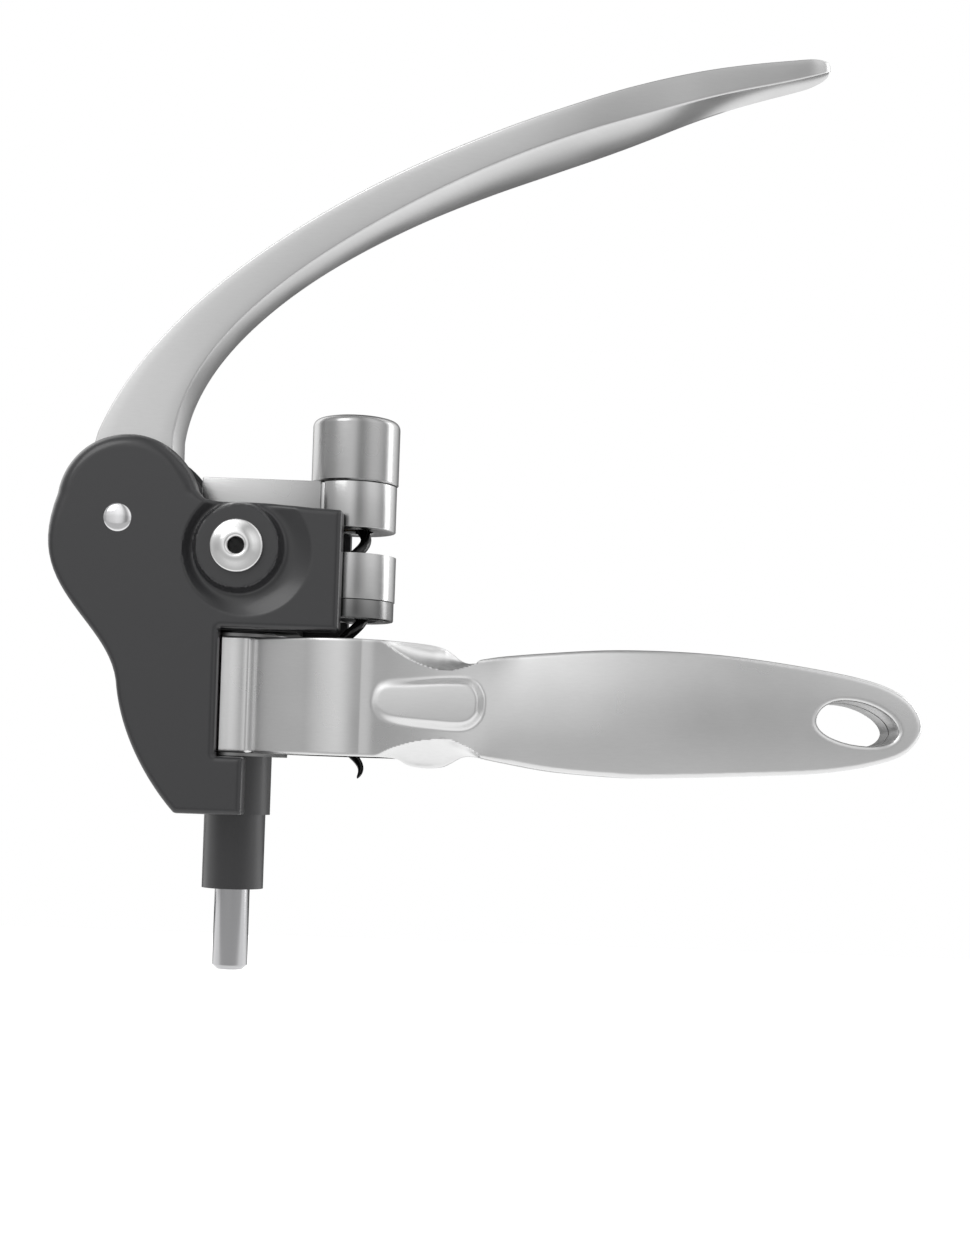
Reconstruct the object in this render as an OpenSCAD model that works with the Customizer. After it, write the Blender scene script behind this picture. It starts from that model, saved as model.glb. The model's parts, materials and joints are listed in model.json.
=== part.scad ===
// Horizontal lever corkscrew: two clamping grips, a geared lever, a sliding worm carriage.
// Frame: +X towards the grip tips, +Y away from the front cover, +Z up, millimetres.
// Origin: on the worm axis, half way up the jaws that clamp the bottle neck.

/* [Bottle neck clamp] */
// Diameter of the bottle neck that the jaws close on
neck_d = 29.5; // [28:0.5:31]
// Height of the jaws along the neck
jaw_h = 26; // [24:1:28]
// Thickness of the rubber jaw liners
liner_t = 1.8; // [1.4:0.1:2.2]
// Wall of the jaws behind the liners
jaw_wall = 1.8; // [1.4:0.1:2.2]
// Gap between the two closed grips
grip_gap = 1.2; // [0.8:0.1:1.6]
// Outer diameter of the grips' hinge barrels
barrel_d = 24.4; // [22:0.2:25]

/* [Grips] */
// Distance from the worm axis to the tips of the grips
grip_reach = 130.4; // [115:0.2:140]
// Thickness of one grip's handle, from its inner face to the crown of its outer face
grip_t = 15.2; // [13:0.2:16]
// Greatest height of a grip's handle
grip_h = 28.8; // [24:0.2:32]
// Length of the hanging hole through both grips
hole_l = 19; // [16:0.5:24]
// Height of the hanging hole
hole_h = 9.5; // [8:0.5:12]
// Length of the raised thumb pad on each jaw
pad_l = 25; // [20:0.5:28]
// Height of the raised thumb pad
pad_h = 10; // [8:0.5:12]

/* [Guide rod] */
// Distance from the worm axis to the guide rod axis
rod_offset = 25; // [24:0.5:27]
// Diameter of the guide rod
rod_d = 8; // [7.6:0.1:8.4]
// How far the guide rod hangs below the middle of the jaws
rod_below = 62.6; // [58:0.2:70]
// Outer diameter of the guide tube inside the hinge barrels
tube_d = 16; // [15:0.2:17]
// Outer diameter of the sleeve below the covers
sleeve_d = 14; // [12:0.2:15]
// How far the sleeve reaches below the middle of the jaws
sleeve_below = 44; // [40:0.5:52]
// Wall of the plain bushes that guide the rod
bush_wall = 1.5; // [1:0.1:2]

/* [Lever and gear] */
// Height of the lever's pivot above the middle of the jaws
pivot_z = 38; // [37:0.5:39]
// Module of the gear teeth
tooth_module = 1.25; // [1.1:0.05:1.3]
// Teeth that the gear would have as a full circle
tooth_count = 38; // [36:1:40]
// Thickness of the toothed sector
gear_t = 8; // [6:0.2:8.2]
// Width of the lever at its root
root_w = 16; // [15:0.2:16.4]
// Greatest width of the lever, seen from above
lever_w = 25.5; // [22:0.5:32]
// Horizontal distance from the pivot to the lever's tip
lever_reach = 157; // [140:1:170]
// Height of the lever's tip above its pivot
lever_rise = 111; // [95:1:115]
// Diameter of the lever's axle
axle_d = 6; // [5:0.2:7]

/* [Worm and carriage] */
// Outer diameter of the worm
worm_d = 8.4; // [7.6:0.1:9]
// Diameter of the worm's wire
wire_d = 2.5; // [2.1:0.1:2.7]
// Rise of the worm in one turn
worm_pitch = 17.5; // [14:0.5:20]
// Length of the worm below its collar
worm_l = 57.5; // [50:0.5:60]
// Height of the carriage arm's underside above the middle of the jaws
arm_z = 38.7; // [38.5:0.1:39.5]
// Height of the carriage arm
arm_h = 10.4; // [10:0.1:12]
// Width of the carriage arm
arm_w = 14; // [12:0.2:14.4]
// Diameter of the round holder at the arm's end
holder_d = 19.4; // [18:0.2:20]
// Diameter of the cap over the worm's bearing
cap_d = 20; // [18:0.2:22]
// Height of the cap
cap_h = 15.3; // [13:0.1:18]

/* [Nut carriage] */
// Height of the nut carriage
nut_h = 14.7; // [13:0.1:14.9]
// Diameter of the nut carriage
nut_d = 20; // [18:0.2:20.6]
// Height of the dark ring at the nut carriage's foot
ring_h = 4.4; // [3:0.1:5]

/* [Covers and frame] */
// Width over the two side covers
cover_w = 34; // [33:0.5:38]
// Wall of the side covers
cover_t = 2.2; // [1.6:0.1:2.6]
// Thickness of each frame cheek
cheek_t = 2.4; // [2:0.1:2.6]
// Head diameter of the hollow bolts
bolt_head_d = 11.8; // [10:0.1:12.4]
// Shank diameter of the hollow bolts
bolt_d = 6; // [5:0.1:6.4]
// Bore of the hollow bolts
bolt_bore = 3.2; // [2.6:0.1:4]

/* [Hidden] */
$fn = 96;
// Sides of shapes that become facets
facet_n = 32;
// A little extra so that cuts pass right through
eps = 0.1;

// Radial gap of a running fit
run_gap = 0.05;
// Gap between faces that slide past each other
slide_gap = 0.3;
// Gap round pieces that swing past each other
swing_gap = 0.6;

// Colours as the photograph shows them
silver = [0.74, 0.74, 0.74];
bright = [0.85, 0.85, 0.86];
graphite = [0.26, 0.26, 0.27];
band_grey = [0.42, 0.42, 0.42];
black = [0.05, 0.05, 0.05];
rubber = [0.12, 0.12, 0.12];
bronze = [0.62, 0.5, 0.32];

// Guide rod, rack and gear
gear_side_gap = 0.4;
rod_x = -rod_offset;
rod_r = rod_d / 2;
rack_land = 0.5;
rack_line_x = rod_x - (rod_r - tooth_module - rack_land);
pitch_r = tooth_module * tooth_count / 2;
pressure = 20;
base_r = pitch_r * cos(pressure);
tip_r = pitch_r + tooth_module;
gear_root_r = pitch_r - 1.25 * tooth_module;
tooth_step = 360 / tooth_count;
rack_step = PI * tooth_module;
backlash = 0.12;
first_tooth = -10;
last_tooth = 1;
pivot_x = rack_line_x - pitch_r;
gear_slot = gear_t / 2 + gear_side_gap;
gear_clear_r = tip_r + swing_gap;
axle_r = axle_d / 2;
hub_bush_r = axle_r + 1.5;
sector_hub_r = 8.5;
root_r = 12;
hub_pin_d = 3;
hub_pin_place = 9;

// Widths across the pivot
root_y = root_w / 2;
washer_t = 0.4;
cheek_in = root_y + washer_t + 2 * run_gap;
cheek_out = cheek_in + cheek_t;
cover_y = cover_w / 2;

// Clamp
liner_r = neck_d / 2;
jaw_in_r = liner_r + liner_t;
jaw_r = jaw_in_r + jaw_wall;
jaw_z = jaw_h / 2;
half_gap = grip_gap / 2;
barrel_r = barrel_d / 2;
tube_r = tube_d / 2;
knuckle_gap = 0.3;
mid_knuckle = 8.6;

// How far the lever can be pushed below its photographed place, and the drop that gives
lever_down = 7;
arm_drop = pitch_r * lever_down * PI / 180;

// Heights
arm_top = arm_z + arm_h;
rail_top = arm_z - arm_drop - slide_gap - 0.1;
head_z = jaw_z + 1.5;
foot_z = -(jaw_z + 1);
cover_foot = -(jaw_z + 14);
bore_gap = 0.45;
roof_t = 2.1;
rod_top = arm_top - roof_t;
bush_l = 10;
bush_r = rod_r + run_gap + bush_wall;
upper_bush_z = 5;

// Rail and nut carriage
rail_x0 = rod_x + tube_r;
rail_neck = 2.8;
rail_head = 2.6;
rail_neck_y = 2;
rail_head_y = 3.5;
rail_end_x = rail_x0 + rail_neck + rail_head;
nut_r = nut_d / 2;
stop_t = 3.4;
nut_z = head_z + stop_t + slide_gap;
nut_block_y = 8.4;
nut_lip = 0.4;
rail_gap = 0.2;
nut_top = nut_z + nut_h;
insert_r = 6;

// Worm
worm_r = (worm_d - wire_d) / 2;
wire_r = wire_d / 2;
collar_z = arm_z + 0.9;
collar_t = 1;
worm_tip_z = collar_z - worm_l;
worm_right_z = arm_z - 2;
worm_taper = 9;
worm_sides = 8;
worm_rings_per_turn = 24;
hub_r = 4.5;
shank_r = 2.8;
spigot_h = 4;
hub_floor = arm_top - spigot_h;
cap_gap = 0.3;
cap_z = arm_top + cap_gap;
cap_r = cap_d / 2;
cap_bore_r = 7;
cap_wall_r = 8;
holder_r = holder_d / 2;
bearing_r = 6;

// Angle of the worm about its axis at a height, zero towards +X
function worm_angle(z) = 360 * (z - worm_right_z) / worm_pitch;

// Point on a cubic curve with end points a and d and handles b and c
function cubic(a, b, c, d, t) =
    pow(1 - t, 3) * a + 3 * pow(1 - t, 2) * t * b + 3 * (1 - t) * t * t * c + pow(t, 3) * d;

// Superellipse coordinate: power below 1 squares the section
function squared(v, power) = sign(v) * pow(abs(v), power);

// Skin through rings of equal point counts, with flat end caps
module skin(rings) {
    n = len(rings[0]);
    m = len(rings);
    side = [for (i = [0:m - 2]) for (j = [0:n - 1])
        each [
            [i * n + j, i * n + (j + 1) % n, (i + 1) * n + (j + 1) % n],
            [i * n + j, (i + 1) * n + (j + 1) % n, (i + 1) * n + j]
        ]];
    polyhedron(
        points = [for (r = rings) each r],
        faces = concat(side, [[for (j = [n - 1:-1:0]) j]], [[for (j = [0:n - 1]) (m - 1) * n + j]])
    );
}

// Outline drawn in x and z, made solid from y0 to y1
module slab(y0, y1) translate([0, y1, 0]) rotate([90, 0, 0]) linear_extrude(y1 - y0) children();

// Cylinder along y at x and z
module y_cyl(x, z, r, y0, y1) translate([x, y1, z]) rotate([90, 0, 0]) cylinder(h = y1 - y0, r = r);

// Cylinder along z
module z_cyl(x, y, r, z0, z1) translate([x, y, z0]) cylinder(h = z1 - z0, r = r);

// Box between two corners
module span(a, b) translate(a) cube(b - a);

// The same piece on the near and the far side
module both_sides() {
    children();
    mirror([0, 1, 0]) children();
}

// Outline of the side covers, drawn in x and z: a round head over the lever's pivot, a block
// towards the worm, a notch for the grips' barrels and a tail that narrows towards its foot
cover_round_r = 15.8;
cover_round = [pivot_x + 1.7, pivot_z + 3.2];
bolt_x = rod_x + 0.8;
bolt_z = pivot_z - 5.6;
block_end_x = -1.4;
block_top = pivot_z + 3.5;
brow_z = pivot_z + 4.6;
notch_x = rod_x - 3;
waist = [rod_x - 25.4, 2.1];
foot_left_x = rod_x - 11.5;
foot_right_x = rod_x + 3.5;
curve_steps = 12;
module cover_outline() {
    left = cover_round + cover_round_r * [-cos(8), sin(8)];
    foot = [foot_left_x, cover_foot];
    upper = [for (i = [0:curve_steps])
        cubic(left, left + [-7.5, -21.8], waist + [-2.3, 13.8], waist, i / curve_steps)];
    lower = [for (i = [1:curve_steps])
        cubic(waist, waist + [1.2, -12.1], foot + [-5.9, 6.3], foot, i / curve_steps)];
    union() {
        translate(cover_round) circle(r = cover_round_r);
        polygon(concat(upper, lower, [
            [foot_right_x, cover_foot], [foot_right_x, foot_z], [notch_x, foot_z], [notch_x, head_z],
            [block_end_x, head_z], [block_end_x, block_top], [bolt_x + 12, block_top + 0.4],
            [bolt_x + 6, brow_z], [bolt_x - 5, brow_z], [bolt_x - 8.6, brow_z + 0.8], cover_round
        ]));
    }
}

// Inset of the frame's edges behind the covers' edges
cheek_inset = 1;
module frame_outline() offset(delta = -cheek_inset) cover_outline();

// Room round the grips' barrels between the frame's head and foot
module barrel_room() z_cyl(rod_x, 0, barrel_r + swing_gap, foot_z, head_z);

// Frame: two cheeks and a floor behind the covers, the guide tube with its sleeve, and the rail
floor_top = pivot_z - 26;
frame_room = 30;
module frame_box(top) span([pivot_x - frame_room, -cover_y, cover_foot], [rail_x0, cover_y, top]);

module frame() color(graphite) difference() {
    union() {
        difference() {
            union() {
                intersection() {
                    both_sides() slab(-cheek_out, -cheek_in) frame_outline();
                    frame_box(pivot_z + frame_room);
                }
                intersection() {
                    slab(-cheek_in, cheek_in) frame_outline();
                    frame_box(floor_top);
                }
                span([rod_x - tube_r, -cheek_in, head_z], [rail_x0, cheek_in, rail_top]);
            }
            barrel_room();
        }
        z_cyl(rod_x, 0, tube_r, cover_foot, rail_top);
        z_cyl(rod_x, 0, sleeve_d / 2, -sleeve_below, cover_foot);
        span([rail_x0 - 1, -rail_neck_y, head_z], [rail_x0 + rail_neck, rail_neck_y, rail_top]);
        span([rail_x0 + rail_neck, -rail_head_y, head_z], [rail_end_x, rail_head_y, rail_top]);
        span([rail_x0 - 1, -nut_block_y, head_z], [rail_end_x, nut_block_y, head_z + stop_t]);
    }
    y_cyl(pivot_x, pivot_z, gear_clear_r, -gear_slot, gear_slot);
    z_cyl(rod_x, 0, rod_r + bore_gap, -sleeve_below - eps, rail_top + eps);
    z_cyl(rod_x, 0, bush_r, -sleeve_below - eps, -sleeve_below + bush_l);
    z_cyl(rod_x, 0, bush_r, upper_bush_z, rail_top + eps);
    y_cyl(pivot_x, pivot_z, axle_r, -cheek_out - eps, cheek_out + eps);
    both_sides() y_cyl(bolt_x, bolt_z, bolt_d / 2, -cheek_out - eps, -cheek_in);
    for (p = screw_places) y_cyl(p[0], p[1], screw_d / 2, -cheek_out - eps, cheek_out + eps);
    z_cyl(lock_x, lock_y, ball_r + run_gap, lock_z - ball_r, lock_z + nut_play + ball_r);
}

// Cover screws, driven in from the far side
screw_d = 2.4;
screw_head_d = 4.4;
screw_head_t = 1.3;
screw_places = [[waist[0] + 5.5, waist[1]], [rod_x - 8, cover_foot + 4]];
screw_sunk = 0.2;
rim_w = 2;
boss_rise = 1.6;
boss_r = 9.8;
recess_r = 13.6;
recess_depth = 1.1;
recess_steps = 8;

// Hollow ring round the boss, a little off its centre
module recess() translate([bolt_x + 0.9, -cover_y, bolt_z - 0.5]) rotate([90, 0, 0]) rotate_extrude()
    polygon(concat(
        [[boss_r - 1, eps]],
        [for (i = [0:recess_steps]) [
            boss_r - 1 + (recess_r - boss_r + 1) * i / recess_steps,
            -recess_depth * pow(sin(180 * sqrt(i / recess_steps)), 0.8)
        ]],
        [[recess_r, eps]]
    ));

// One side cover, drawn on the near side
module cover_shape() difference() {
    union() {
        difference() {
            slab(-cover_y, -cover_y + cover_t) cover_outline();
            recess();
        }
        slab(-cover_y + cover_t - eps, -cheek_out) difference() {
            cover_outline();
            offset(delta = -rim_w) cover_outline();
        }
        y_cyl(bolt_x, bolt_z, boss_r, -cover_y - boss_rise, -cheek_out);
        y_cyl(pivot_x, pivot_z, hub_bush_r + 2, -cover_y + eps, -cheek_out);
        for (p = screw_places) y_cyl(p[0], p[1], screw_head_d / 2 + 1, -cover_y + eps, -cheek_out);
    }
    barrel_room();
    y_cyl(pivot_x, pivot_z, axle_r, -cover_y - eps, -cheek_out + eps);
    y_cyl(bolt_x, bolt_z, bolt_d / 2, -cover_y - boss_rise - eps, -cheek_out + eps);
}

// Depth of the screws' blind holes in the near cover
screw_blind = 2.6;
module side_cover_near() color(graphite) difference() {
    cover_shape();
    for (p = screw_places) y_cyl(p[0], p[1], screw_d / 2, -cheek_out - screw_blind, -cheek_out + eps);
}

module side_cover_far() color(graphite) difference() {
    mirror([0, 1, 0]) cover_shape();
    for (p = screw_places) {
        y_cyl(p[0], p[1], screw_d / 2, cheek_out - eps, cover_y + eps);
        y_cyl(p[0], p[1], screw_head_d / 2, cover_y - screw_head_t, cover_y + eps);
    }
}

module cover_screws() color(graphite) for (p = screw_places) {
    y_cyl(p[0], p[1], screw_d / 2, -cheek_out - screw_blind, cover_y - screw_head_t);
    y_cyl(p[0], p[1], screw_head_d / 2, cover_y - screw_head_t, cover_y - screw_sunk);
}

// Hollow bolts that hold the covers at the head of the frame
bolt_head_t = 2.8;
module hollow_bolts() color(bright) both_sides()
    translate([bolt_x, -cover_y - boss_rise, bolt_z]) rotate([90, 0, 0]) rotate_extrude() polygon([
        [bolt_bore / 2, -cover_y - boss_rise + cheek_in],
        [bolt_d / 2, -cover_y - boss_rise + cheek_in],
        [bolt_d / 2, 0],
        [bolt_head_d / 2, 0],
        [bolt_head_d / 2, bolt_head_t * 0.45],
        [bolt_head_d / 2 - 0.5, bolt_head_t * 0.75],
        [bolt_head_d / 2 - 1.5, bolt_head_t * 0.95],
        [bolt_head_d / 2 - 2.6, bolt_head_t],
        [bolt_bore / 2 + 0.5, bolt_head_t * 0.8],
        [bolt_bore / 2, bolt_head_t * 0.6]
    ]);

// Axle with a low dome at each end
axle_dome = 0.9;
axle_lip = 0.2;
module lever_axle() color(bright) union() {
    y_cyl(pivot_x, pivot_z, axle_r, -cover_y, cover_y);
    both_sides() translate([pivot_x, -cover_y, pivot_z]) rotate([90, 0, 0]) rotate_extrude()
        polygon(concat(
            [[0, 0]],
            [for (i = [0:6]) [(axle_r + axle_lip) * cos(15 * i), axle_dome * sin(15 * i)]]
        ));
}

// Washers between the lever's root and the cheeks
washer_rim = 3.5;
module axle_washers() color(bright) both_sides() difference() {
    y_cyl(pivot_x, pivot_z, axle_r + washer_rim, -root_y - run_gap - washer_t, -root_y - run_gap);
    y_cyl(pivot_x, pivot_z, axle_r, -cheek_in, -root_y + eps);
}

// Plain bushes in the guide tube and the sleeve
module guide_bush(z0) color(bronze) difference() {
    z_cyl(rod_x, 0, bush_r, z0, z0 + bush_l);
    z_cyl(rod_x, 0, rod_r + run_gap, z0 - eps, z0 + bush_l + eps);
}
module upper_guide_bush() guide_bush(upper_bush_z);
module lower_guide_bush() guide_bush(-sleeve_below);

// Washers above and below the grips' barrels
hinge_washer_t = 0.7;
hinge_washer_r = barrel_r - 0.7;
module hinge_washers() color(bright) for (s = [-1, 1]) difference() {
    z0 = s > 0 ? jaw_z + run_gap : -jaw_z - run_gap - hinge_washer_t;
    z_cyl(rod_x, 0, hinge_washer_r, z0, z0 + hinge_washer_t);
    z_cyl(rod_x, 0, tube_r, z0 - eps, z0 + hinge_washer_t + eps);
}

// Lever: upper and lower edges as curves from the root to the tip, measured from the pivot
lever_foot = 20.2;
lever_steps = 26;
lever_sides = 16;
foot_back_x = -7;
foot_front_x = 11.3;
function lever_top(t) = cubic(
    [foot_back_x, lever_foot], [lever_reach * 0.079, lever_rise * 0.617],
    [lever_reach * 0.591, lever_rise * 0.895], [lever_reach * 0.996, lever_rise * 1.015], t);
function lever_low(t) = cubic(
    [foot_front_x, lever_foot], [lever_reach * 0.104, lever_rise * 0.571],
    [lever_reach * 0.63, lever_rise * 0.794], [lever_reach, lever_rise * 0.976], t);
// Half the lever's width along its length, widest a little past the middle
function lever_half_w(t) = lever_w / 2 * lookup(t, [
    [0, root_w / lever_w], [0.25, root_w / lever_w], [0.4, 0.68], [0.5, 0.8], [0.6, 0.95],
    [0.68, 1], [0.74, 0.94], [0.79, 0.76], [0.84, 0.54], [0.89, 0.44], [0.97, 0.38], [1, 0.2]
]);
function lever_ring(t) = let(
    a = lever_top(t), b = lever_low(t), mid = (a + b) / 2, up = (a - b) / 2, w = lever_half_w(t)
) [for (j = [0:lever_sides - 1]) let(
    q = 360 * (j + 0.5) / lever_sides, s = squared(sin(q), 0.55), c = squared(cos(q), 0.55)
) [pivot_x + mid[0] + up[0] * s, w * c, pivot_z + mid[1] + up[1] * s]];

// Wedge about the pivot between two angles
module wedge(from, to, r) polygon([
    [0, 0], r * [cos(from), sin(from)],
    2 * r * [cos((from + to) / 2), sin((from + to) / 2)], r * [cos(to), sin(to)]
]);
sector_from = (first_tooth - 0.5) * tooth_step;
sector_to = (last_tooth + 0.5) * tooth_step;
hub_pin_angles = [-75, -20];

module lever_handle() color(silver) difference() {
    union() {
        skin([for (i = [lever_steps:-1:0]) lever_ring(i / lever_steps)]);
        translate([pivot_x, 0, pivot_z]) slab(-root_y, root_y) {
            circle(r = root_r);
            polygon([
                [-root_r * 0.96, root_r * 0.26], [foot_back_x + 0.3, lever_foot + 0.6],
                [foot_front_x, lever_foot + 0.6], [root_r - 0.1, 1]
            ]);
        }
    }
    translate([pivot_x, 0, pivot_z]) slab(-gear_t / 2, gear_t / 2) {
        circle(r = sector_hub_r);
        wedge(sector_from - 2, sector_to + 2, root_r * 2.4);
    }
    y_cyl(pivot_x, pivot_z, hub_bush_r, -root_y - eps, root_y + eps);
    hub_pin_set(root_y + eps);
}

// Pins that hold the toothed sector in the lever's root
module hub_pin_set(y) for (a = hub_pin_angles)
    y_cyl(pivot_x + hub_pin_place * cos(a), pivot_z + hub_pin_place * sin(a), hub_pin_d / 2, -y, y);

// Half angle of a gear tooth at radius r
function involute(a) = tan(a) * 180 / PI - a;
function tooth_half(r) = 90 / tooth_count + involute(pressure)
    - involute(acos(min(1, base_r / r))) - backlash / 4 / pitch_r * 180 / PI;

gear_foot_r = gear_root_r - 0.4;
module gear_tooth() {
    flank = [for (i = [0:4]) max(base_r, gear_root_r) + (tip_r - max(base_r, gear_root_r)) * i / 4];
    polygon(concat(
        [gear_foot_r * [cos(tooth_half(base_r)), -sin(tooth_half(base_r))]],
        [for (r = flank) r * [cos(tooth_half(r)), -sin(tooth_half(r))]],
        [for (i = [4:-1:0]) flank[i] * [cos(tooth_half(flank[i])), sin(tooth_half(flank[i]))]],
        [gear_foot_r * [cos(tooth_half(base_r)), sin(tooth_half(base_r))]]
    ));
}

// Toothed sector round the hub, with the bore for its bush and the holes for its pins
module gear_sector() color(bright) difference() {
    translate([pivot_x, 0, pivot_z]) slab(-gear_t / 2, gear_t / 2) {
        circle(r = sector_hub_r);
        intersection() {
            circle(r = gear_root_r);
            wedge(sector_from, sector_to, gear_root_r * 1.5);
        }
        for (k = [first_tooth:last_tooth]) rotate(k * tooth_step) gear_tooth();
    }
    y_cyl(pivot_x, pivot_z, hub_bush_r, -gear_t, gear_t);
    hub_pin_set(gear_t);
}

module hub_pins() color(bright) hub_pin_set(root_y);

module hub_bush() color(bronze) difference() {
    y_cyl(pivot_x, pivot_z, hub_bush_r, -root_y, root_y);
    y_cyl(pivot_x, pivot_z, axle_r + run_gap, -root_y - eps, root_y + eps);
}

// Guide rod with its rack on the side that faces the gear
rack_first = -11;
rack_last = 2;
rack_root_x = rack_line_x + 1.25 * tooth_module;
rod_screw_d = 2.4;
rod_screw_head_d = 4.4;
rod_screw_head_t = 1.4;
rod_screw_x = rod_x + 1.5;
rod_screw_l = 9;
rod_chamfer = 1;
module rack_space(z) {
    out = tooth_module + 1;
    mid_w = rack_step / 4 + backlash / 4;
    polygon([
        [rack_line_x - out, z - mid_w - out * tan(pressure)],
        [rack_root_x, z - mid_w + 1.25 * tooth_module * tan(pressure)],
        [rack_root_x, z + mid_w - 1.25 * tooth_module * tan(pressure)],
        [rack_line_x - out, z + mid_w + out * tan(pressure)]
    ]);
}

// The rod's side is flat along the rack, so that its teeth clear the gear's roots
module guide_rod() color(bright) difference() {
    union() {
        z_cyl(rod_x, 0, rod_r, -rod_below + rod_chamfer, rod_top);
        translate([rod_x, 0, -rod_below])
            cylinder(h = rod_chamfer, r1 = rod_r - rod_chamfer, r2 = rod_r);
    }
    slab(-rod_r - eps, rod_r + eps) {
        for (k = [rack_first:rack_last]) rack_space(pivot_z + k * rack_step);
        polygon([
            [rod_x - rod_d, pivot_z + (rack_first - 0.5) * rack_step],
            [rack_line_x - tooth_module, pivot_z + (rack_first - 0.5) * rack_step],
            [rack_line_x - tooth_module, rod_top + eps], [rod_x - rod_d, rod_top + eps]
        ]);
    }
    z_cyl(rod_screw_x, 0, rod_screw_d / 2, arm_top - rod_screw_l, rod_top + eps);
}

// Carriage arm: a fork round the gear, a bar and the round holder of the worm's bearing
fork_x = rod_x - 9;
bearing_floor = arm_z + 0.9;
holder_groove = 0.9;
groove_depth = 0.7;
groove_x = -sqrt(holder_r * holder_r - arm_w * arm_w / 4) + 0.4;
module carriage_arm() color(silver) difference() {
    union() {
        span([fork_x, -arm_w / 2, arm_z], [0, arm_w / 2, arm_top]);
        z_cyl(0, 0, holder_r, arm_z, arm_top);
    }
    both_sides() span(
        [groove_x - holder_groove, -holder_r, arm_z - eps],
        [groove_x, -arm_w / 2 + groove_depth, arm_top + eps]
    );
    span([fork_x - eps, -gear_slot, arm_z - eps], [rod_x, gear_slot, rod_top]);
    z_cyl(rod_x, 0, rod_r, arm_z - eps, rod_top);
    z_cyl(rod_screw_x, 0, rod_screw_d / 2, rod_top - eps, arm_top + eps);
    z_cyl(rod_screw_x, 0, rod_screw_head_d / 2, arm_top - rod_screw_head_t, arm_top + eps);
    z_cyl(0, 0, bearing_r, bearing_floor, arm_top + eps);
    z_cyl(0, 0, worm_d / 2 + slide_gap, arm_z - eps, bearing_floor + eps);
    z_cyl(0, 0, cap_wall_r, hub_floor, arm_top + eps);
}

// Screw that holds the guide rod in the arm, seen in the arm's top
module rod_screw() color(bright) {
    z_cyl(rod_screw_x, 0, rod_screw_d / 2, arm_top - rod_screw_l, arm_top - rod_screw_head_t);
    z_cyl(rod_screw_x, 0, rod_screw_head_d / 2, arm_top - rod_screw_head_t, arm_top - screw_sunk);
}

// Cap over the worm's bearing, with a rounded top edge and a spigot in the holder
cap_round = 1.6;
cap_dome = 0.5;
cap_roof = 3;
module worm_cap() color(silver) rotate_extrude() polygon(concat(
    [[cap_bore_r, hub_floor], [cap_wall_r, hub_floor], [cap_wall_r, cap_z], [cap_r, cap_z]],
    [for (i = [0:6]) [
        cap_r - cap_round + cap_round * cos(15 * i),
        cap_z + cap_h - cap_dome - cap_round + cap_round * sin(15 * i)
    ]],
    [[0, cap_z + cap_h], [0, cap_z + cap_h - cap_roof], [cap_bore_r, cap_z + cap_h - cap_roof]]
));

// Plain bush and thrust washer that carry the turning hub
module bearing_bush() color(bronze) difference() {
    z_cyl(0, 0, bearing_r, bearing_floor, hub_floor);
    z_cyl(0, 0, hub_r + run_gap, arm_z, arm_top);
}

thrust_t = 0.6;
module thrust_washer() color(bright) difference() {
    z_cyl(0, 0, cap_bore_r - 0.4, hub_floor, hub_floor + thrust_t);
    z_cyl(0, 0, hub_r + run_gap, arm_z, arm_top);
}

// Hub that carries the worm and turns in the bearing
flange_t = 3;
stem_top = cap_z + cap_h - cap_roof - 2;
module worm_hub() color(bright) difference() {
    union() {
        z_cyl(0, 0, hub_r, collar_z + collar_t, hub_floor + thrust_t + run_gap);
        z_cyl(0, 0, cap_bore_r - 0.6, hub_floor + thrust_t + run_gap, hub_floor + thrust_t + flange_t);
        z_cyl(0, 0, hub_r - 1, hub_floor + thrust_t + flange_t - eps, stem_top);
    }
    z_cyl(0, 0, shank_r, collar_z, hub_floor + flange_t);
}

// Worm: a tapered wire wound right-handed, below a collar and a shank
worm_steps = ceil(worm_rings_per_turn * worm_l / worm_pitch);
worm_slope = atan(worm_pitch / (2 * PI * worm_r));
function worm_wire(z) = z > worm_tip_z + worm_taper ? wire_r
    : 0.2 + (wire_r - 0.2) * sqrt((z - worm_tip_z) / worm_taper);
function worm_centre(z) = [
    (worm_r + wire_r - worm_wire(z)) * cos(worm_angle(z)),
    (worm_r + wire_r - worm_wire(z)) * sin(worm_angle(z)), z];
function worm_ring(z) = let(a = worm_angle(z), w = worm_wire(z)) [for (j = [0:worm_sides - 1]) let(
    q = 360 * (j + 0.5) / worm_sides,
    out = w * cos(q), lift = w * sin(q)
) worm_centre(z) + [
    out * cos(a) + lift * sin(worm_slope) * sin(a),
    out * sin(a) - lift * sin(worm_slope) * cos(a),
    lift * cos(worm_slope)]];
worm_heights = [for (i = [0:worm_steps]) worm_tip_z + (collar_z + 0.5 - worm_tip_z) * i / worm_steps];
worm_gap = min([for (i = [0:worm_steps]) for (j = [i + worm_rings_per_turn / 2:worm_steps])
    norm(worm_centre(worm_heights[i]) - worm_centre(worm_heights[j]))]) - wire_d;
echo(worm_least_gap_to_itself_mm = worm_gap);

module worm() color(black) union() {
    skin([for (z = worm_heights) worm_ring(z)]);
    z_cyl(0, 0, worm_d / 2, collar_z, collar_z + collar_t);
    z_cyl(0, 0, shank_r, collar_z + collar_t - eps, hub_floor + flange_t);
}

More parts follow.
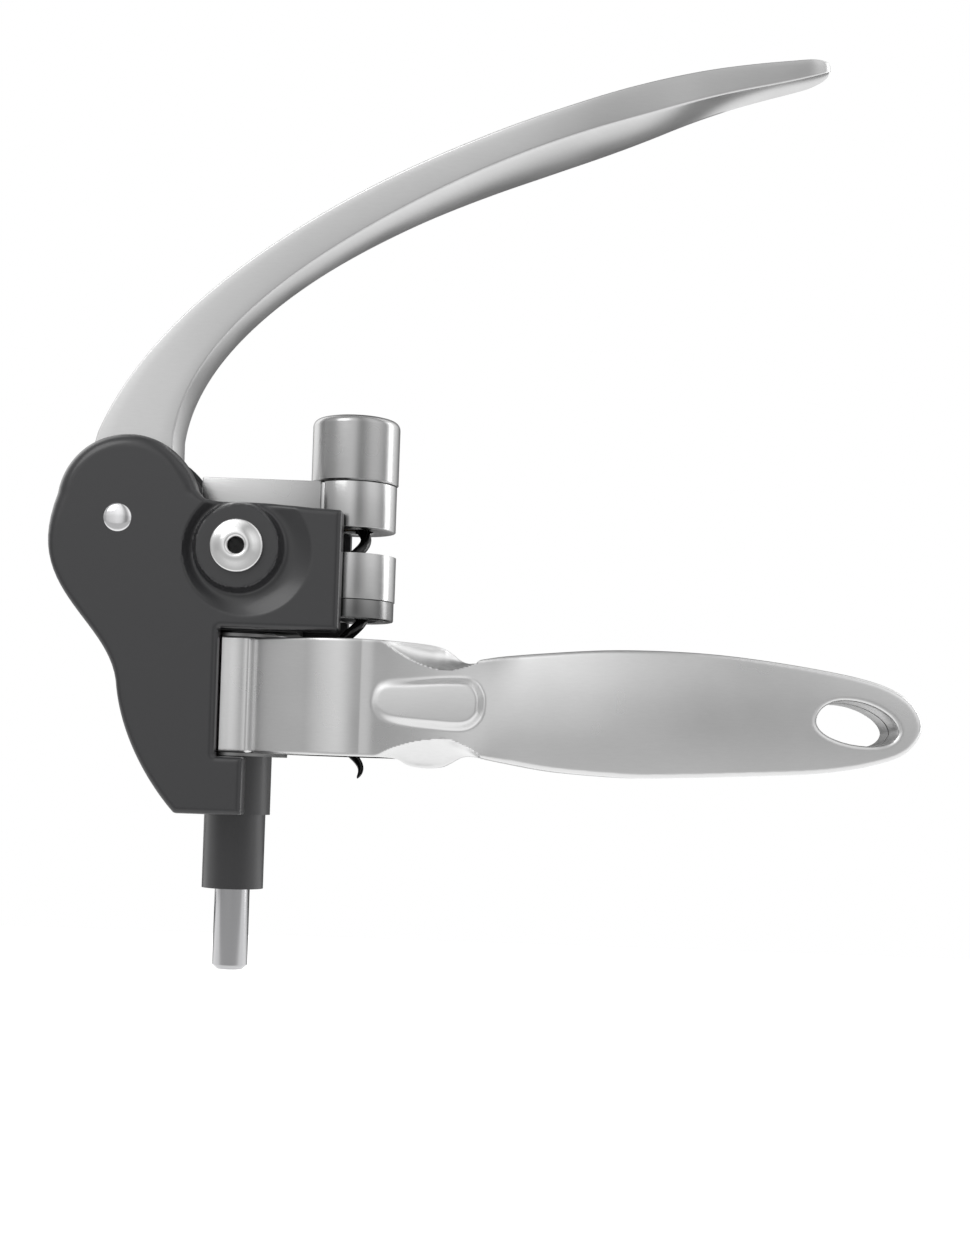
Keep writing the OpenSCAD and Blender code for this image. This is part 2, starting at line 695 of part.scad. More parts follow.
// Nut carriage: a round body with a block that slides on the frame's rail
ball_r = 1.2;
ball_seat = 0.3;
lock_x = rail_x0 + rail_neck + rail_head / 2;
lock_y = -rail_head_y - ball_r + ball_seat;
lock_z = nut_z + nut_h / 2;
nut_play = 1.5;
spring_l = 2.4;
spring_gap = 0.4;
spring_r = ball_r - 0.15;
spring_in_r = ball_r - 0.6;
nut_block_x = rail_x0 + 0.5;
ring_inset = 0.2;
ring_core_r = 8.2;
module nut_block(z0, z1) difference() {
    span([nut_block_x, -nut_block_y - nut_lip, z0], [-nut_r + 5, nut_block_y + nut_lip, z1]);
    span(
        [nut_block_x - eps, -rail_neck_y - rail_gap, z0 - eps],
        [rail_x0 + rail_neck + rail_gap, rail_neck_y + rail_gap, z1 + eps]
    );
    span(
        [rail_x0 + rail_neck - rail_gap, -rail_head_y - rail_gap, z0 - eps],
        [rail_end_x + rail_gap, rail_head_y + rail_gap, z1 + eps]
    );
}

module nut_carriage() color(silver) difference() {
    union() {
        nut_block(nut_z, nut_top);
        z_cyl(0, 0, nut_r, nut_z + ring_h, nut_top);
        z_cyl(0, 0, ring_core_r, nut_z, nut_top);
    }
    z_cyl(0, 0, insert_r, nut_z - eps, nut_top + eps);
    span(
        [rail_x0, -rail_head_y - rail_gap, nut_z - eps],
        [rail_end_x + rail_gap, rail_head_y + rail_gap, nut_top + eps]
    );
    y_cyl(lock_x, lock_z, ball_r, -nut_block_y - 0.5, -rail_head_y);
}

// Dark ring round the nut carriage's foot
module nut_ring() color(band_grey) difference() {
    z_cyl(0, 0, nut_r - ring_inset, nut_z, nut_z + ring_h);
    z_cyl(0, 0, ring_core_r, nut_z - eps, nut_top);
    span([-nut_d, -nut_block_y - nut_lip, nut_z - eps], [-nut_r + 5, nut_block_y + nut_lip, nut_top]);
}

// Plastic insert with a helical passage for the worm, open enough for the carriage's play
passage_gap = 0.4;
passage_from = -40;
passage_to = 40 + 360 * nut_play / worm_pitch;
insert_inset = 0.3;
insert_h = nut_h - 2 * insert_inset;
passage_steps = 20;
function passage_ring(z) = let(
    out = worm_r + wire_r + passage_gap, in = worm_r - wire_r - passage_gap,
    q0 = worm_angle(z) + passage_from, dq = (passage_to - passage_from) / 6
) concat(
    [for (i = [0:6]) [out * cos(q0 + i * dq), out * sin(q0 + i * dq), z]],
    [for (i = [6, 4, 2, 0]) [in * cos(q0 + i * dq), in * sin(q0 + i * dq), z]]
);
module nut_insert() color(rubber) difference() {
    z_cyl(0, 0, insert_r, nut_z + insert_inset, nut_z + insert_inset + insert_h);
    skin([for (i = [passage_steps:-1:0])
        passage_ring(nut_z + insert_inset - eps + (insert_h + 2 * eps) * i / passage_steps)]);
}

// Ball, spring and plug that latch the nut carriage to the rail
module lock_ball() color(bright) translate([lock_x, lock_y, lock_z]) sphere(r = ball_r);

module lock_spring() color(bright) difference() {
    y_cyl(lock_x, lock_z, spring_r, lock_plug_y, lock_plug_y + spring_l);
    y_cyl(lock_x, lock_z, spring_in_r, lock_plug_y - eps, lock_plug_y + spring_l + eps);
    translate([lock_x, lock_y, lock_z]) sphere(r = ball_r);
}
lock_plug_y = lock_y - spring_l - spring_gap;

module lock_plug() color(graphite) y_cyl(lock_x, lock_z, ball_r, -nut_block_y - 0.3, lock_plug_y);

// Grips: the near one, with its own knuckles, is mirrored for the far one
leaf_x = 28;
leaf_steps = 24;
leaf_end = 0.985;
// Neck between the jaw and the leaf: place, top edge and bottom edge
neck_edges = [
    [12, jaw_z - 0.1, -jaw_z - 0.2], [15, jaw_z - 0.1, -jaw_z - 1.6], [18, jaw_z - 0.2, -jaw_z - 2],
    [21, jaw_z - 0.6, -jaw_z - 1.9], [24, jaw_z - 2, -jaw_z - 0.8], [26, 9.7, -12.6]
];
waist_top = 9.1;
waist_low = -12;
tip_z = -1.4;
// Edge of the leaf from its waist to its tip, for handles at these heights
function leaf_edge(waist_z, h1, h2, t) = cubic(
    [leaf_x, waist_z], [grip_reach * 0.46, h1], [grip_reach, h2], [grip_reach, tip_z], t);
function leaf_top(t) = leaf_edge(waist_top, grip_h * 0.55, grip_h * 0.47, t);
function leaf_low(t) = leaf_edge(waist_low, -grip_h * 0.62, -grip_h * 0.625, t);
leaf_rings = [for (i = [0:leaf_steps]) let(t = leaf_end * sqrt(i / leaf_steps))
    [leaf_top(t)[0], leaf_top(t)[1], leaf_low(t)[1]]];
// Crown of the outer face, measured from the inner face
function handle_out(x) = half_gap + grip_t * lookup(x, [
    [12, 0.98], [20, 0.93], [28, 0.92], [45, 0.98], [58, 1], [75, 0.98], [98, 0.86], [112, 0.77],
    [grip_reach, 0.6]
]);
// Rounding of the edges, deep where the neck is scooped out, and its height above and below
function edge_round(x) = lookup(x, [[12, 2.5], [16, 5], [20, 7], [24, 9], [28, 9], [40, 3.4]]);
function round_top(x) = lookup(x, [[12, 2.5], [20, 5], [24, 4], [28, 1.6], [40, 2.7]]);
function round_low(x) = lookup(x, [[12, 2.5], [20, 6], [24, 5], [28, 1.8], [40, 2.7]]);
crown = 1.6;
edge_chamfer = 0.3;
function handle_ring(x, top, low) = let(
    y = handle_out(x), side = y - crown, r = min(edge_round(x), side * 0.6),
    up = min(round_top(x), (top - low) * 0.3), down = min(round_low(x), (top - low) * 0.3)
) concat(
    [[x, -half_gap, low + edge_chamfer], [x, -half_gap, top - edge_chamfer]],
    [for (q = [0:22.5:90]) [x, -side + r - r * sin(q), top - up + up * cos(q)]],
    [[x, -y, (top + low) / 2]],
    [for (q = [90:-22.5:0]) [x, -side + r - r * sin(q), low + down - down * cos(q)]]
);
handle_rings = [for (e = concat(neck_edges, leaf_rings)) handle_ring(e[0], e[1], e[2])];

// Heights of the hinge knuckles: two on the near grip, one between them on the far grip
mid_knuckle_z = (mid_knuckle - knuckle_gap) / 2;
knuckles_near = [[-jaw_z, -mid_knuckle_z - knuckle_gap], [mid_knuckle_z + knuckle_gap, jaw_z]];
knuckles_far = [[-mid_knuckle_z, mid_knuckle_z]];
// How far each grip swings open
swing_max = 20;
knuckle_r = barrel_r - 2.2;
valley = [rod_x + 5.3, -10.8];
ridge_x = rod_x + 3.6;
web_touch = 207;

// Grip seen from above: the half jaw, the half barrel and the web between them
module own_half(r) translate([-2 * r, -2 * r]) square([4 * r, 2 * r - half_gap]);
module jaw_plan() difference() {
    union() {
        intersection() {
            circle(r = jaw_r);
            own_half(jaw_r);
        }
        translate([rod_x, 0]) difference() {
            intersection() {
                circle(r = barrel_r);
                own_half(barrel_r);
            }
            wedge(180 - swing_max - 2, 180 + swing_max + 2, barrel_r * 1.2);
        }
        polygon([
            [rod_x, -half_gap], [rod_x, -barrel_r], [ridge_x, -barrel_r], valley,
            jaw_r * [sin(web_touch), cos(web_touch)], [0, -half_gap]
        ]);
    }
    circle(r = jaw_in_r);
}

// Raised thumb pad, partly on the jaw and partly on the neck
pad_place = [jaw_r + 0.4, -0.7];
pad_y = jaw_r - 1.3;
pad_round = pad_h * 0.35;
module thumb_pad() intersection() {
    slab(-jaw_r, -half_gap - grip_t / 2) translate(pad_place) {
        square([pad_l - 2 * pad_round, pad_h], center = true);
        square([pad_l, pad_h - 2 * pad_round], center = true);
        for (sx = [-1, 1], sz = [-1, 1])
            translate([sx * (pad_l / 2 - pad_round), sz * (pad_h / 2 - pad_round)])
                circle(r = pad_round, $fn = facet_n);
    }
    translate([0, 0, -jaw_z]) linear_extrude(jaw_h) polygon([
        [4, -pad_y + 4], [4, -pad_y], [8, -pad_y], [leaf_x + 3, -pad_y + 0.3],
        [leaf_x + 4, -grip_t], [leaf_x + 4, -half_gap - 4], [jaw_r, -half_gap - 1]
    ]);
}

// Room for the other grip's knuckles
module other_room(other) for (k = other)
    z_cyl(rod_x, 0, knuckle_r + slide_gap, k[0] - knuckle_gap, k[1] + knuckle_gap);

module grip_shape(own, other) difference() {
    union() {
        translate([0, 0, -jaw_z]) linear_extrude(jaw_h) jaw_plan();
        for (k = own) z_cyl(rod_x, 0, knuckle_r, k[0], k[1]);
        skin([for (i = [len(handle_rings) - 1:-1:0]) handle_rings[i]]);
        thumb_pad();
    }
    other_room(other);
    z_cyl(rod_x, 0, tube_r + run_gap, -jaw_h, jaw_h);
    z_cyl(0, 0, jaw_in_r, -jaw_h, jaw_h);
    translate([hanging_x, 0, hanging_z]) slab(-grip_t * 2, grip_t) rotate(hanging_tilt) {
        square([hole_l - hole_h, hole_h], center = true);
        for (s = [-1, 1]) translate([s * (hole_l - hole_h) / 2, 0]) circle(r = hole_h / 2);
    }
}

// Soft liner of a jaw
module liner_shape(other) difference() {
    translate([0, 0, -jaw_z]) linear_extrude(jaw_h) intersection() {
        difference() {
            circle(r = jaw_in_r);
            circle(r = liner_r);
        }
        own_half(jaw_r);
    }
    other_room(other);
}

module grip_near() color(silver) grip_shape(knuckles_near, knuckles_far);
module jaw_liner_near() color(rubber) liner_shape(knuckles_far);
module grip_far() color(silver) mirror([0, 1, 0]) grip_shape(knuckles_far, knuckles_near);
module jaw_liner_far() color(rubber) mirror([0, 1, 0]) liner_shape(knuckles_near);

// Hanging hole near the tips
hanging_x = grip_reach - 15.2;
hanging_z = -1.7;
hanging_tilt = -11;

frame();
side_cover_near();
side_cover_far();
hollow_bolts();
cover_screws();
lever_axle();
axle_washers();
upper_guide_bush();
lower_guide_bush();
hinge_washers();
lever_handle();
gear_sector();
hub_pins();
hub_bush();
guide_rod();
carriage_arm();
worm_cap();
rod_screw();
bearing_bush();
thrust_washer();
worm();
worm_hub();
nut_carriage();
nut_insert();
nut_ring();
lock_ball();
lock_spring();
lock_plug();
grip_near();
jaw_liner_near();
grip_far();
jaw_liner_far();
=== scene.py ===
"""Looks of the horizontal lever corkscrew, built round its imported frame. Metres, +Z up."""
import json
import math
from contextlib import contextmanager

import bmesh
import bpy
import numpy as np
from mathutils import Matrix, Vector


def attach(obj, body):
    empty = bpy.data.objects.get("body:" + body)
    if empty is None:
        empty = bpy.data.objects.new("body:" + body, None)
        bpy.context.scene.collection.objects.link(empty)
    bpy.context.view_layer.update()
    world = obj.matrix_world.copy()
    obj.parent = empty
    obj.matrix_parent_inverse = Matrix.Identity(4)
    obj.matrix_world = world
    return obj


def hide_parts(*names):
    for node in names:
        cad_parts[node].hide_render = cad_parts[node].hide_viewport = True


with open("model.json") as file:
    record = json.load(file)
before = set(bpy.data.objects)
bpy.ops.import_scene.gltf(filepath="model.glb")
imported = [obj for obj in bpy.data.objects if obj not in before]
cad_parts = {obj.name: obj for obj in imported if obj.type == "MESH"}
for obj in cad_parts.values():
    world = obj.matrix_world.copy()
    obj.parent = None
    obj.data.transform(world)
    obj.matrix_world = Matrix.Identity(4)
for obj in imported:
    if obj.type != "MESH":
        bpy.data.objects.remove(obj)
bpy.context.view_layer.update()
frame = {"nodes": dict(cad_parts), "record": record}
MM = 0.001

# Photograph's view: where the camera stands, how it rolls, its focal length in pixels, and how
# far below the picture's middle it stands, in pixels
EYE = Vector((0.0322, -0.4370, -0.0165))
ROLL_DEG = 2.0
FOCAL_PX = 1900.0
BELOW_PX = 152.2
PHOTO_H = 1249.0
SENSOR = 36.0


def make_camera():
    roll = math.radians(ROLL_DEG)
    right = Vector((math.cos(roll), 0, math.sin(roll)))
    up = Vector((-math.sin(roll), 0, math.cos(roll)))
    back = Vector((0, -1, 0))
    data = bpy.data.cameras.new("camera")
    data.sensor_width = SENSOR
    data.lens = FOCAL_PX / PHOTO_H * SENSOR
    data.shift_y = BELOW_PX / PHOTO_H
    camera = bpy.data.objects.new("camera", data)
    turn = Matrix((right, up, back)).transposed().to_4x4()
    camera.matrix_world = Matrix.Translation(EYE) @ turn
    bpy.context.collection.objects.link(camera)
    bpy.context.scene.camera = camera


make_camera()
bpy.context.scene.view_settings.view_transform = "Standard"


# Materials

# Nearly all of a noise texture's values lie between these
NOISE_LOW, NOISE_HIGH = 0.3, 0.7
METAL_DENT, COATING_DENT = 0.03 * MM, 0.04 * MM
COATING_TINT = 0.1
COAT_ROUGHNESS = 0.16


def add(tree, kind, **values):
    """A new node, with each value given to the input or setting of that name."""
    node = tree.nodes.new(kind)
    for key, value in values.items():
        if key in node.inputs:
            node.inputs[key].default_value = value
        else:
            setattr(node, key.lower(), value)
    return node


def noise(tree, stretch=(1, 1, 1), **values):
    """Noise in object space, with its frequency multiplied by stretch along each axis."""
    where = add(tree, "ShaderNodeTexCoord")
    mapping = add(tree, "ShaderNodeMapping", Scale=stretch)
    texture = add(tree, "ShaderNodeTexNoise", **values)
    tree.links.new(where.outputs["Object"], mapping.inputs["Vector"])
    tree.links.new(mapping.outputs["Vector"], texture.inputs["Vector"])
    return texture.outputs["Fac"]


def ramped(tree, source, low, high, out_low, out_high):
    """The source's values from low to high, spread evenly from out_low to out_high."""
    node = add(tree, "ShaderNodeMapRange")
    node.inputs["From Min"].default_value = low
    node.inputs["From Max"].default_value = high
    node.inputs["To Min"].default_value = out_low
    node.inputs["To Max"].default_value = out_high
    tree.links.new(source, node.inputs["Value"])
    return node.outputs["Result"]


def plain_material(name, color, metallic, roughness):
    material = bpy.data.materials.new(name)
    material.use_nodes = True
    shader = material.node_tree.nodes["Principled BSDF"]
    shader.inputs["Base Color"].default_value = (*color, 1)
    shader.inputs["Metallic"].default_value = metallic
    shader.inputs["Roughness"].default_value = roughness
    return material, material.node_tree, shader


def vary_gloss(tree, shader, source, roughness, spread):
    gloss = ramped(tree, source, NOISE_LOW, NOISE_HIGH, roughness - spread, roughness + spread)
    tree.links.new(gloss, shader.inputs["Roughness"])


def vary_tone(tree, shader, source, color, tint):
    mix = add(tree, "ShaderNodeMix", data_type="RGBA")
    mix.inputs["A"].default_value = (*[c * (1 - tint) for c in color], 1)
    mix.inputs["B"].default_value = (*[min(1, c * (1 + tint)) for c in color], 1)
    tree.links.new(source, mix.inputs["Factor"])
    tree.links.new(mix.outputs["Result"], shader.inputs["Base Color"])


def add_bump(tree, shader, source, strength, depth):
    dent = add(tree, "ShaderNodeBump", Strength=strength, Distance=depth)
    tree.links.new(source, dent.inputs["Height"])
    tree.links.new(dent.outputs["Normal"], shader.inputs["Normal"])


def metal(name, color, roughness, spread, grain, bump, tint=0.04):
    """Metal with a fine stretched grain, uneven polish and a slight change of tone."""
    material, tree, shader = plain_material(name, color, 1.0, roughness)
    fine = noise(tree, grain, Scale=1.0, Detail=4.0, Roughness=0.6)
    broad = noise(tree, Scale=60.0, Detail=2.0)
    vary_gloss(tree, shader, broad, roughness, spread)
    vary_tone(tree, shader, fine, color, tint)
    add_bump(tree, shader, fine, bump, METAL_DENT)
    return material


def coating(name, color, roughness, spread, bump, grain=1500.0, coat=0.0):
    """Paint or plastic with a fine powdery texture and small changes of gloss."""
    material, tree, shader = plain_material(name, color, 0.0, roughness)
    shader.inputs["Coat Weight"].default_value = coat
    shader.inputs["Coat Roughness"].default_value = COAT_ROUGHNESS
    fine = noise(tree, Scale=grain, Detail=3.0, Roughness=0.6)
    broad = noise(tree, Scale=45.0, Detail=3.0)
    vary_gloss(tree, shader, broad, roughness, spread)
    vary_tone(tree, shader, broad, color, COATING_TINT)
    add_bump(tree, shader, fine, bump, COATING_DENT)
    return material


CAST_GRAIN, LEVER_GRAIN, TURNED_GRAIN = (500, 500, 2600), (400, 400, 2400), (300, 300, 4200)
EVEN_GRAIN, DRAWN_GRAIN, BEARING_GRAIN = (900, 900, 900), (700, 700, 2600), (900, 900, 2400)
SATIN = metal("satin_casting", (0.76, 0.76, 0.76), 0.30, 0.04, CAST_GRAIN, 0.25)
LEVER_SATIN = metal("satin_lever", (0.66, 0.66, 0.66), 0.36, 0.04, LEVER_GRAIN, 0.25)
CAP_SATIN = metal("brushed_cap", (0.47, 0.47, 0.47), 0.26, 0.04, TURNED_GRAIN, 0.3)
ROUND_SATIN = metal("brushed_round", (0.55, 0.55, 0.55), 0.24, 0.04, TURNED_GRAIN, 0.3)
BAND = metal("band_metal", (0.24, 0.24, 0.24), 0.26, 0.04, TURNED_GRAIN, 0.2)
POLISHED = metal("polished_steel", (0.80, 0.80, 0.81), 0.12, 0.04, EVEN_GRAIN, 0.08, 0.02)
BOLT_STEEL = metal("bolt_steel", (0.84, 0.84, 0.84), 0.24, 0.04, EVEN_GRAIN, 0.12, 0.03)
ROD_STEEL = metal("rod_steel", (0.50, 0.50, 0.51), 0.13, 0.04, DRAWN_GRAIN, 0.12, 0.02)
# Steel darkened as painted shade, for the shaded gap between frame and grips where the hinge
# washers sit
WASHER_SHADE_STEEL = metal("washer_painted_shade", (0.30, 0.30, 0.30), 0.34, 0.05, DRAWN_GRAIN, 0.15, 0.03)
BRONZE = metal("bearing_bronze", (0.55, 0.42, 0.24), 0.34, 0.06, BEARING_GRAIN, 0.3)
GRAPHITE = coating("graphite_paint", (0.026, 0.026, 0.028), 0.34, 0.04, 0.15, coat=0.35)
WORM_BLACK = coating("worm_coating", (0.008, 0.008, 0.008), 0.22, 0.05, 0.12)
PLASTIC = coating("black_plastic", (0.018, 0.018, 0.018), 0.5, 0.06, 0.35)
RUBBER = coating("liner_rubber", (0.014, 0.014, 0.014), 0.75, 0.05, 0.5, 900.0)

SLOT_MATERIALS = {
    "silver_casting": SATIN, "bright_steel": POLISHED, "graphite_paint": GRAPHITE,
    "band_grey": BAND, "worm_black": WORM_BLACK, "black_plastic": PLASTIC,
    "liner_rubber": RUBBER, "bronze": BRONZE,
}


def finish_frame_nodes():
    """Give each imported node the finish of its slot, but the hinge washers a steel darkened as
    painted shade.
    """
    slots = {part["node"]: part["material_slot"] for part in frame["record"]["subparts"]}
    for node, obj in frame["nodes"].items():
        # The hinge washers get the painted-shade steel in place of their slot's finish
        finish = WASHER_SHADE_STEEL if node == "hinge_washers" else SLOT_MATERIALS[slots[node]]
        for holder in obj.material_slots:
            holder.material = finish
        if not obj.material_slots:
            obj.data.materials.append(finish)


# Mesh helpers. Points are in millimetres and become metres here.

SHARP_DEG, SOFTENED_SHARP_DEG, FLAT_DEG = 35.0, 30.0, 0.5
# Points closer than these, in metres, become one: after cutting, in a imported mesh, on an axis
MERGE, PACKED_MERGE, TINY = 2e-6, 1e-6, 1e-7
BEVEL_STEPS = 3
CORNER_STEPS = 5


@contextmanager
def editing(mesh):
    """The mesh as a bmesh, written back at the end."""
    work = bmesh.new()
    work.from_mesh(mesh)
    yield work
    work.to_mesh(mesh)
    work.free()


def merge_points(work, distance):
    """Merge points closer than the distance and drop the faces and edges that vanish."""
    bmesh.ops.remove_doubles(work, verts=work.verts, dist=distance)
    bmesh.ops.dissolve_degenerate(work, edges=work.edges, dist=TINY)


def shade(mesh, sharp_deg=SHARP_DEG):
    mesh.polygons.foreach_set("use_smooth", [True] * len(mesh.polygons))
    mesh.set_sharp_from_angle(angle=math.radians(sharp_deg))


def make_object(name, points, faces, material, sharp_deg=SHARP_DEG):
    mesh = bpy.data.meshes.new(name)
    mesh.from_pydata([tuple(c * MM for c in p) for p in points], [], faces)
    mesh.validate()
    shade(mesh, sharp_deg)
    mesh.materials.append(material)
    obj = bpy.data.objects.new(name, mesh)
    bpy.context.collection.objects.link(obj)
    return obj


def apply_modifiers(obj):
    bpy.context.view_layer.update()
    evaluated = obj.evaluated_get(bpy.context.evaluated_depsgraph_get())
    mesh = bpy.data.meshes.new_from_object(evaluated)
    obj.modifiers.clear()
    obj.data = mesh


def cut(obj, cutter, operation="DIFFERENCE"):
    modifier = obj.modifiers.new("cut", "BOOLEAN")
    modifier.operation = operation
    modifier.object = cutter
    modifier.solver = "MANIFOLD"
    apply_modifiers(obj)
    bpy.data.objects.remove(cutter)


def tidy_edges(obj, sharp_deg=SHARP_DEG):
    """Merge what cutting left double and mark the sharp edges afresh."""
    with editing(obj.data) as work:
        merge_points(work, MERGE)
    shade(obj.data, sharp_deg)


def mirror_y(obj):
    for v in obj.data.vertices:
        v.co.y = -v.co.y
    obj.data.flip_normals()


def tube_faces(rings, count):
    """Quads between neighbouring rings of count points each."""
    faces = []
    for i in range(rings - 1):
        for j in range(count):
            k = (j + 1) % count
            faces.append((i * count + j, i * count + k, (i + 1) * count + k, (i + 1) * count + j))
    return faces


def lathe(name, profile, material, centre=(0, 0, 0), axis="Z", sides=96):
    """Turn a closed profile of (radius, height) about an axis; Y has its heights towards -Y."""
    points, faces = [], []
    count = len(profile)
    for i in range(sides):
        a, n = 2 * math.pi * i / sides, (i + 1) % sides
        for j, (radius, height) in enumerate(profile):
            x, y = radius * math.cos(a), radius * math.sin(a)
            place = (x, y, height) if axis == "Z" else (x, -height, y)
            points.append(tuple(p + c for p, c in zip(place, centre)))
            k = (j + 1) % count
            faces.append((i * count + j, n * count + j, n * count + k, i * count + k))
    obj = make_object(name, points, faces, material)
    with editing(obj.data) as work:
        merge_points(work, TINY)
        bmesh.ops.recalc_face_normals(work, faces=work.faces)
    obj.data.set_sharp_from_angle(angle=math.radians(SHARP_DEG))
    return obj


def bar(radius, low, high, centre, axis, sides):
    """A plain round cutter."""
    profile = [(0.0, low), (radius, low), (radius, high), (0.0, high)]
    return lathe("cutter", profile, SATIN, centre, axis, sides)


def bar_y(x, z, radius, y0, y1):
    return bar(radius, -y1, -y0, (x, 0, z), "Y", 96)


def bar_z(x, radius, z0, z1):
    return bar(radius, z0, z1, (x, 0, 0), "Z", 160)


def prism(outline, y0, y1, material=SATIN):
    """An outline in X and Z made solid from y0 to y1."""
    count = len(outline)
    points = [(x, y, z) for y in (y0, y1) for x, z in outline]
    faces = [list(range(count)), list(range(2 * count - 1, count - 1, -1))]
    faces += [[i, i + count, (i + 1) % count + count, (i + 1) % count] for i in range(count)]
    obj = make_object("prism", points, faces, material)
    with editing(obj.data) as work:
        bmesh.ops.recalc_face_normals(work, faces=work.faces)
    return obj


def prism_z(outline, z0, z1):
    """An outline in X and Y made solid from z0 to z1."""
    obj = prism(outline, z0, z1)
    for v in obj.data.vertices:
        v.co = (v.co.x, v.co.z, v.co.y)
    obj.data.flip_normals()
    return obj


def softened(node, name, material, width):
    """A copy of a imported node's mesh with its sharp edges rounded."""
    source = frame["nodes"][node]
    mesh = source.data.copy()
    obj = bpy.data.objects.new(name, mesh)
    obj.matrix_world = source.matrix_world.copy()
    bpy.context.collection.objects.link(obj)
    mesh.materials.clear()
    mesh.materials.append(material)
    with editing(mesh) as work:
        bmesh.ops.remove_doubles(work, verts=work.verts, dist=PACKED_MERGE)
        bmesh.ops.dissolve_limit(work, angle_limit=math.radians(FLAT_DEG), verts=work.verts,
                                 edges=work.edges)
    bevel = obj.modifiers.new("edges", "BEVEL")
    bevel.width = width * MM
    bevel.segments = BEVEL_STEPS
    bevel.limit_method = "ANGLE"
    bevel.angle_limit = math.radians(SHARP_DEG)
    bevel.use_clamp_overlap = True
    apply_modifiers(obj)
    tidy_edges(obj, SOFTENED_SHARP_DEG)
    return obj


def dress(obj, node, body):
    """Let the piece ride on its body in place of the node."""
    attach(obj, body)
    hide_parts(node)


# Profiles and paths

PATH_STEP = 0.6


def arc(cx, cy, radius, start, end, count):
    """Points along a circle, from one angle to another, in degrees."""
    return [(cx + radius * math.cos(math.radians(a)), cy + radius * math.sin(math.radians(a)))
            for a in np.linspace(start, end, count)]


def bezier(points, t):
    """The cubic curve's place at t, which may be a column of values."""
    a, b, c, d = (np.array(p, float) for p in points)
    return (1 - t) ** 3 * a + 3 * (1 - t) ** 2 * t * b + 3 * (1 - t) * t * t * c + t ** 3 * d


def rounded(profile, radii):
    """A profile whose listed corners are rounded: radii maps a corner's index to its radius."""
    out = []
    count = len(profile)
    for i, p in enumerate(profile):
        if i not in radii:
            out.append(p)
            continue
        p, a, b = (np.array(q, float) for q in (p, profile[i - 1], profile[(i + 1) % count]))
        u, v = (a - p) / np.linalg.norm(a - p), (b - p) / np.linalg.norm(b - p)
        half = math.acos(max(-1, min(1, float(u @ v)))) / 2
        reach = radii[i] / math.tan(half)
        start, end = p + u * reach, p + v * reach
        for k in range(CORNER_STEPS + 1):
            t = k / CORNER_STEPS
            out.append(tuple((1 - t) ** 2 * start + 2 * (1 - t) * t * p + t * t * end))
    return out


def curve(points, t):
    """Smooth interpolation through (place, value) points, at the places t."""
    xs, ys = (np.array(v, float) for v in zip(*points))
    slope = np.gradient(ys, xs)
    i = np.clip(np.searchsorted(xs, t) - 1, 0, len(xs) - 2)
    step = xs[i + 1] - xs[i]
    u = np.clip((t - xs[i]) / step, 0, 1)
    return ((1 + 2 * u) * (1 - u) ** 2 * ys[i] + u * (1 - u) ** 2 * step * slope[i]
            + u * u * (3 - 2 * u) * ys[i + 1] + u * u * (u - 1) * step * slope[i + 1])


def smooth_path(points, closed=False):
    """Points along a rounded path through the given ones."""
    p = np.array(points, float)
    count = len(p)
    out = []
    for i in range(count if closed else count - 1):
        a, b = p[i], p[(i + 1) % count]
        before = p[i - 1] if closed or i else a
        after = p[(i + 2) % count] if closed or i < count - 2 else b
        steps = max(2, int(np.linalg.norm(b - a) / PATH_STEP))
        for k in range(steps):
            t = k / steps
            out.append(0.5 * (2 * a + (b - before) * t
                              + (2 * before - 5 * a + 4 * b - after) * t ** 2
                              + (3 * a - before - 3 * b + after) * t ** 3))
    if not closed:
        out.append(p[-1])
    return np.array(out)


def soft_max(a, b, k):
    """The larger of two, with a rounded change from one to the other, about k wide."""
    h = np.clip(0.5 + 0.5 * (a - b) / k, 0, 1)
    return b * (1 - h) + a * h + k * h * (1 - h)


def smooth_step(v, low, high):
    t = np.clip((v - low) / (high - low), 0, 1)
    return t * t * (3 - 2 * t)


def edge_drop(d, radius):
    """How far a quarter round of this radius lies below the flat, at a distance d from the edge."""
    d = np.minimum(d, radius)
    return radius - np.sqrt(np.maximum(radius ** 2 - (radius - d) ** 2, 0))


# Light and floor

# What the metal reflects, by compass angle from the camera's side towards +X, in degrees
ROOM = [(-180, 0.12), (-160, 0.18), (-150, 0.70), (-142, 1.2), (-116, 1.2), (-98, 0.60),
        (-76, 0.38), (-55, 0.42), (-40, 0.58), (-25, 0.68), (-8, 0.80), (1, 0.70), (8, 0.48),
        (14, 0.30), (20, 0.30), (32, 0.50), (46, 0.72), (62, 0.74), (76, 0.58), (88, 0.28),
        (97, 0.60), (106, 0.9), (132, 0.9), (144, 0.55), (156, 0.20), (180, 0.12)]

# How the brightness changes with height: (upward part of the direction, strength)
LEVELS = [(-1, 0.9), (-0.2, 1.0), (0.12, 1.10), (0.3, 1.40), (0.5, 1.50), (0.7, 1.4),
          (0.86, 1.35), (0.95, 1.2), (1, 0.5)]

FLOOR_Z = -0.16
FLOOR_HALF = 1.2
FLOOR_GREY = 0.85
FLOOR_GLOW = 0.6
# The floor as metal sees it, by its place in Y
FLOOR_MIRROR = [(-1.2, 0.50), (-0.3, 0.55), (-0.1, 1.10), (0.3, 1.25), (0.9, 0.08)]

LAMP_AIM = Vector((0.02, 0, 0.03))


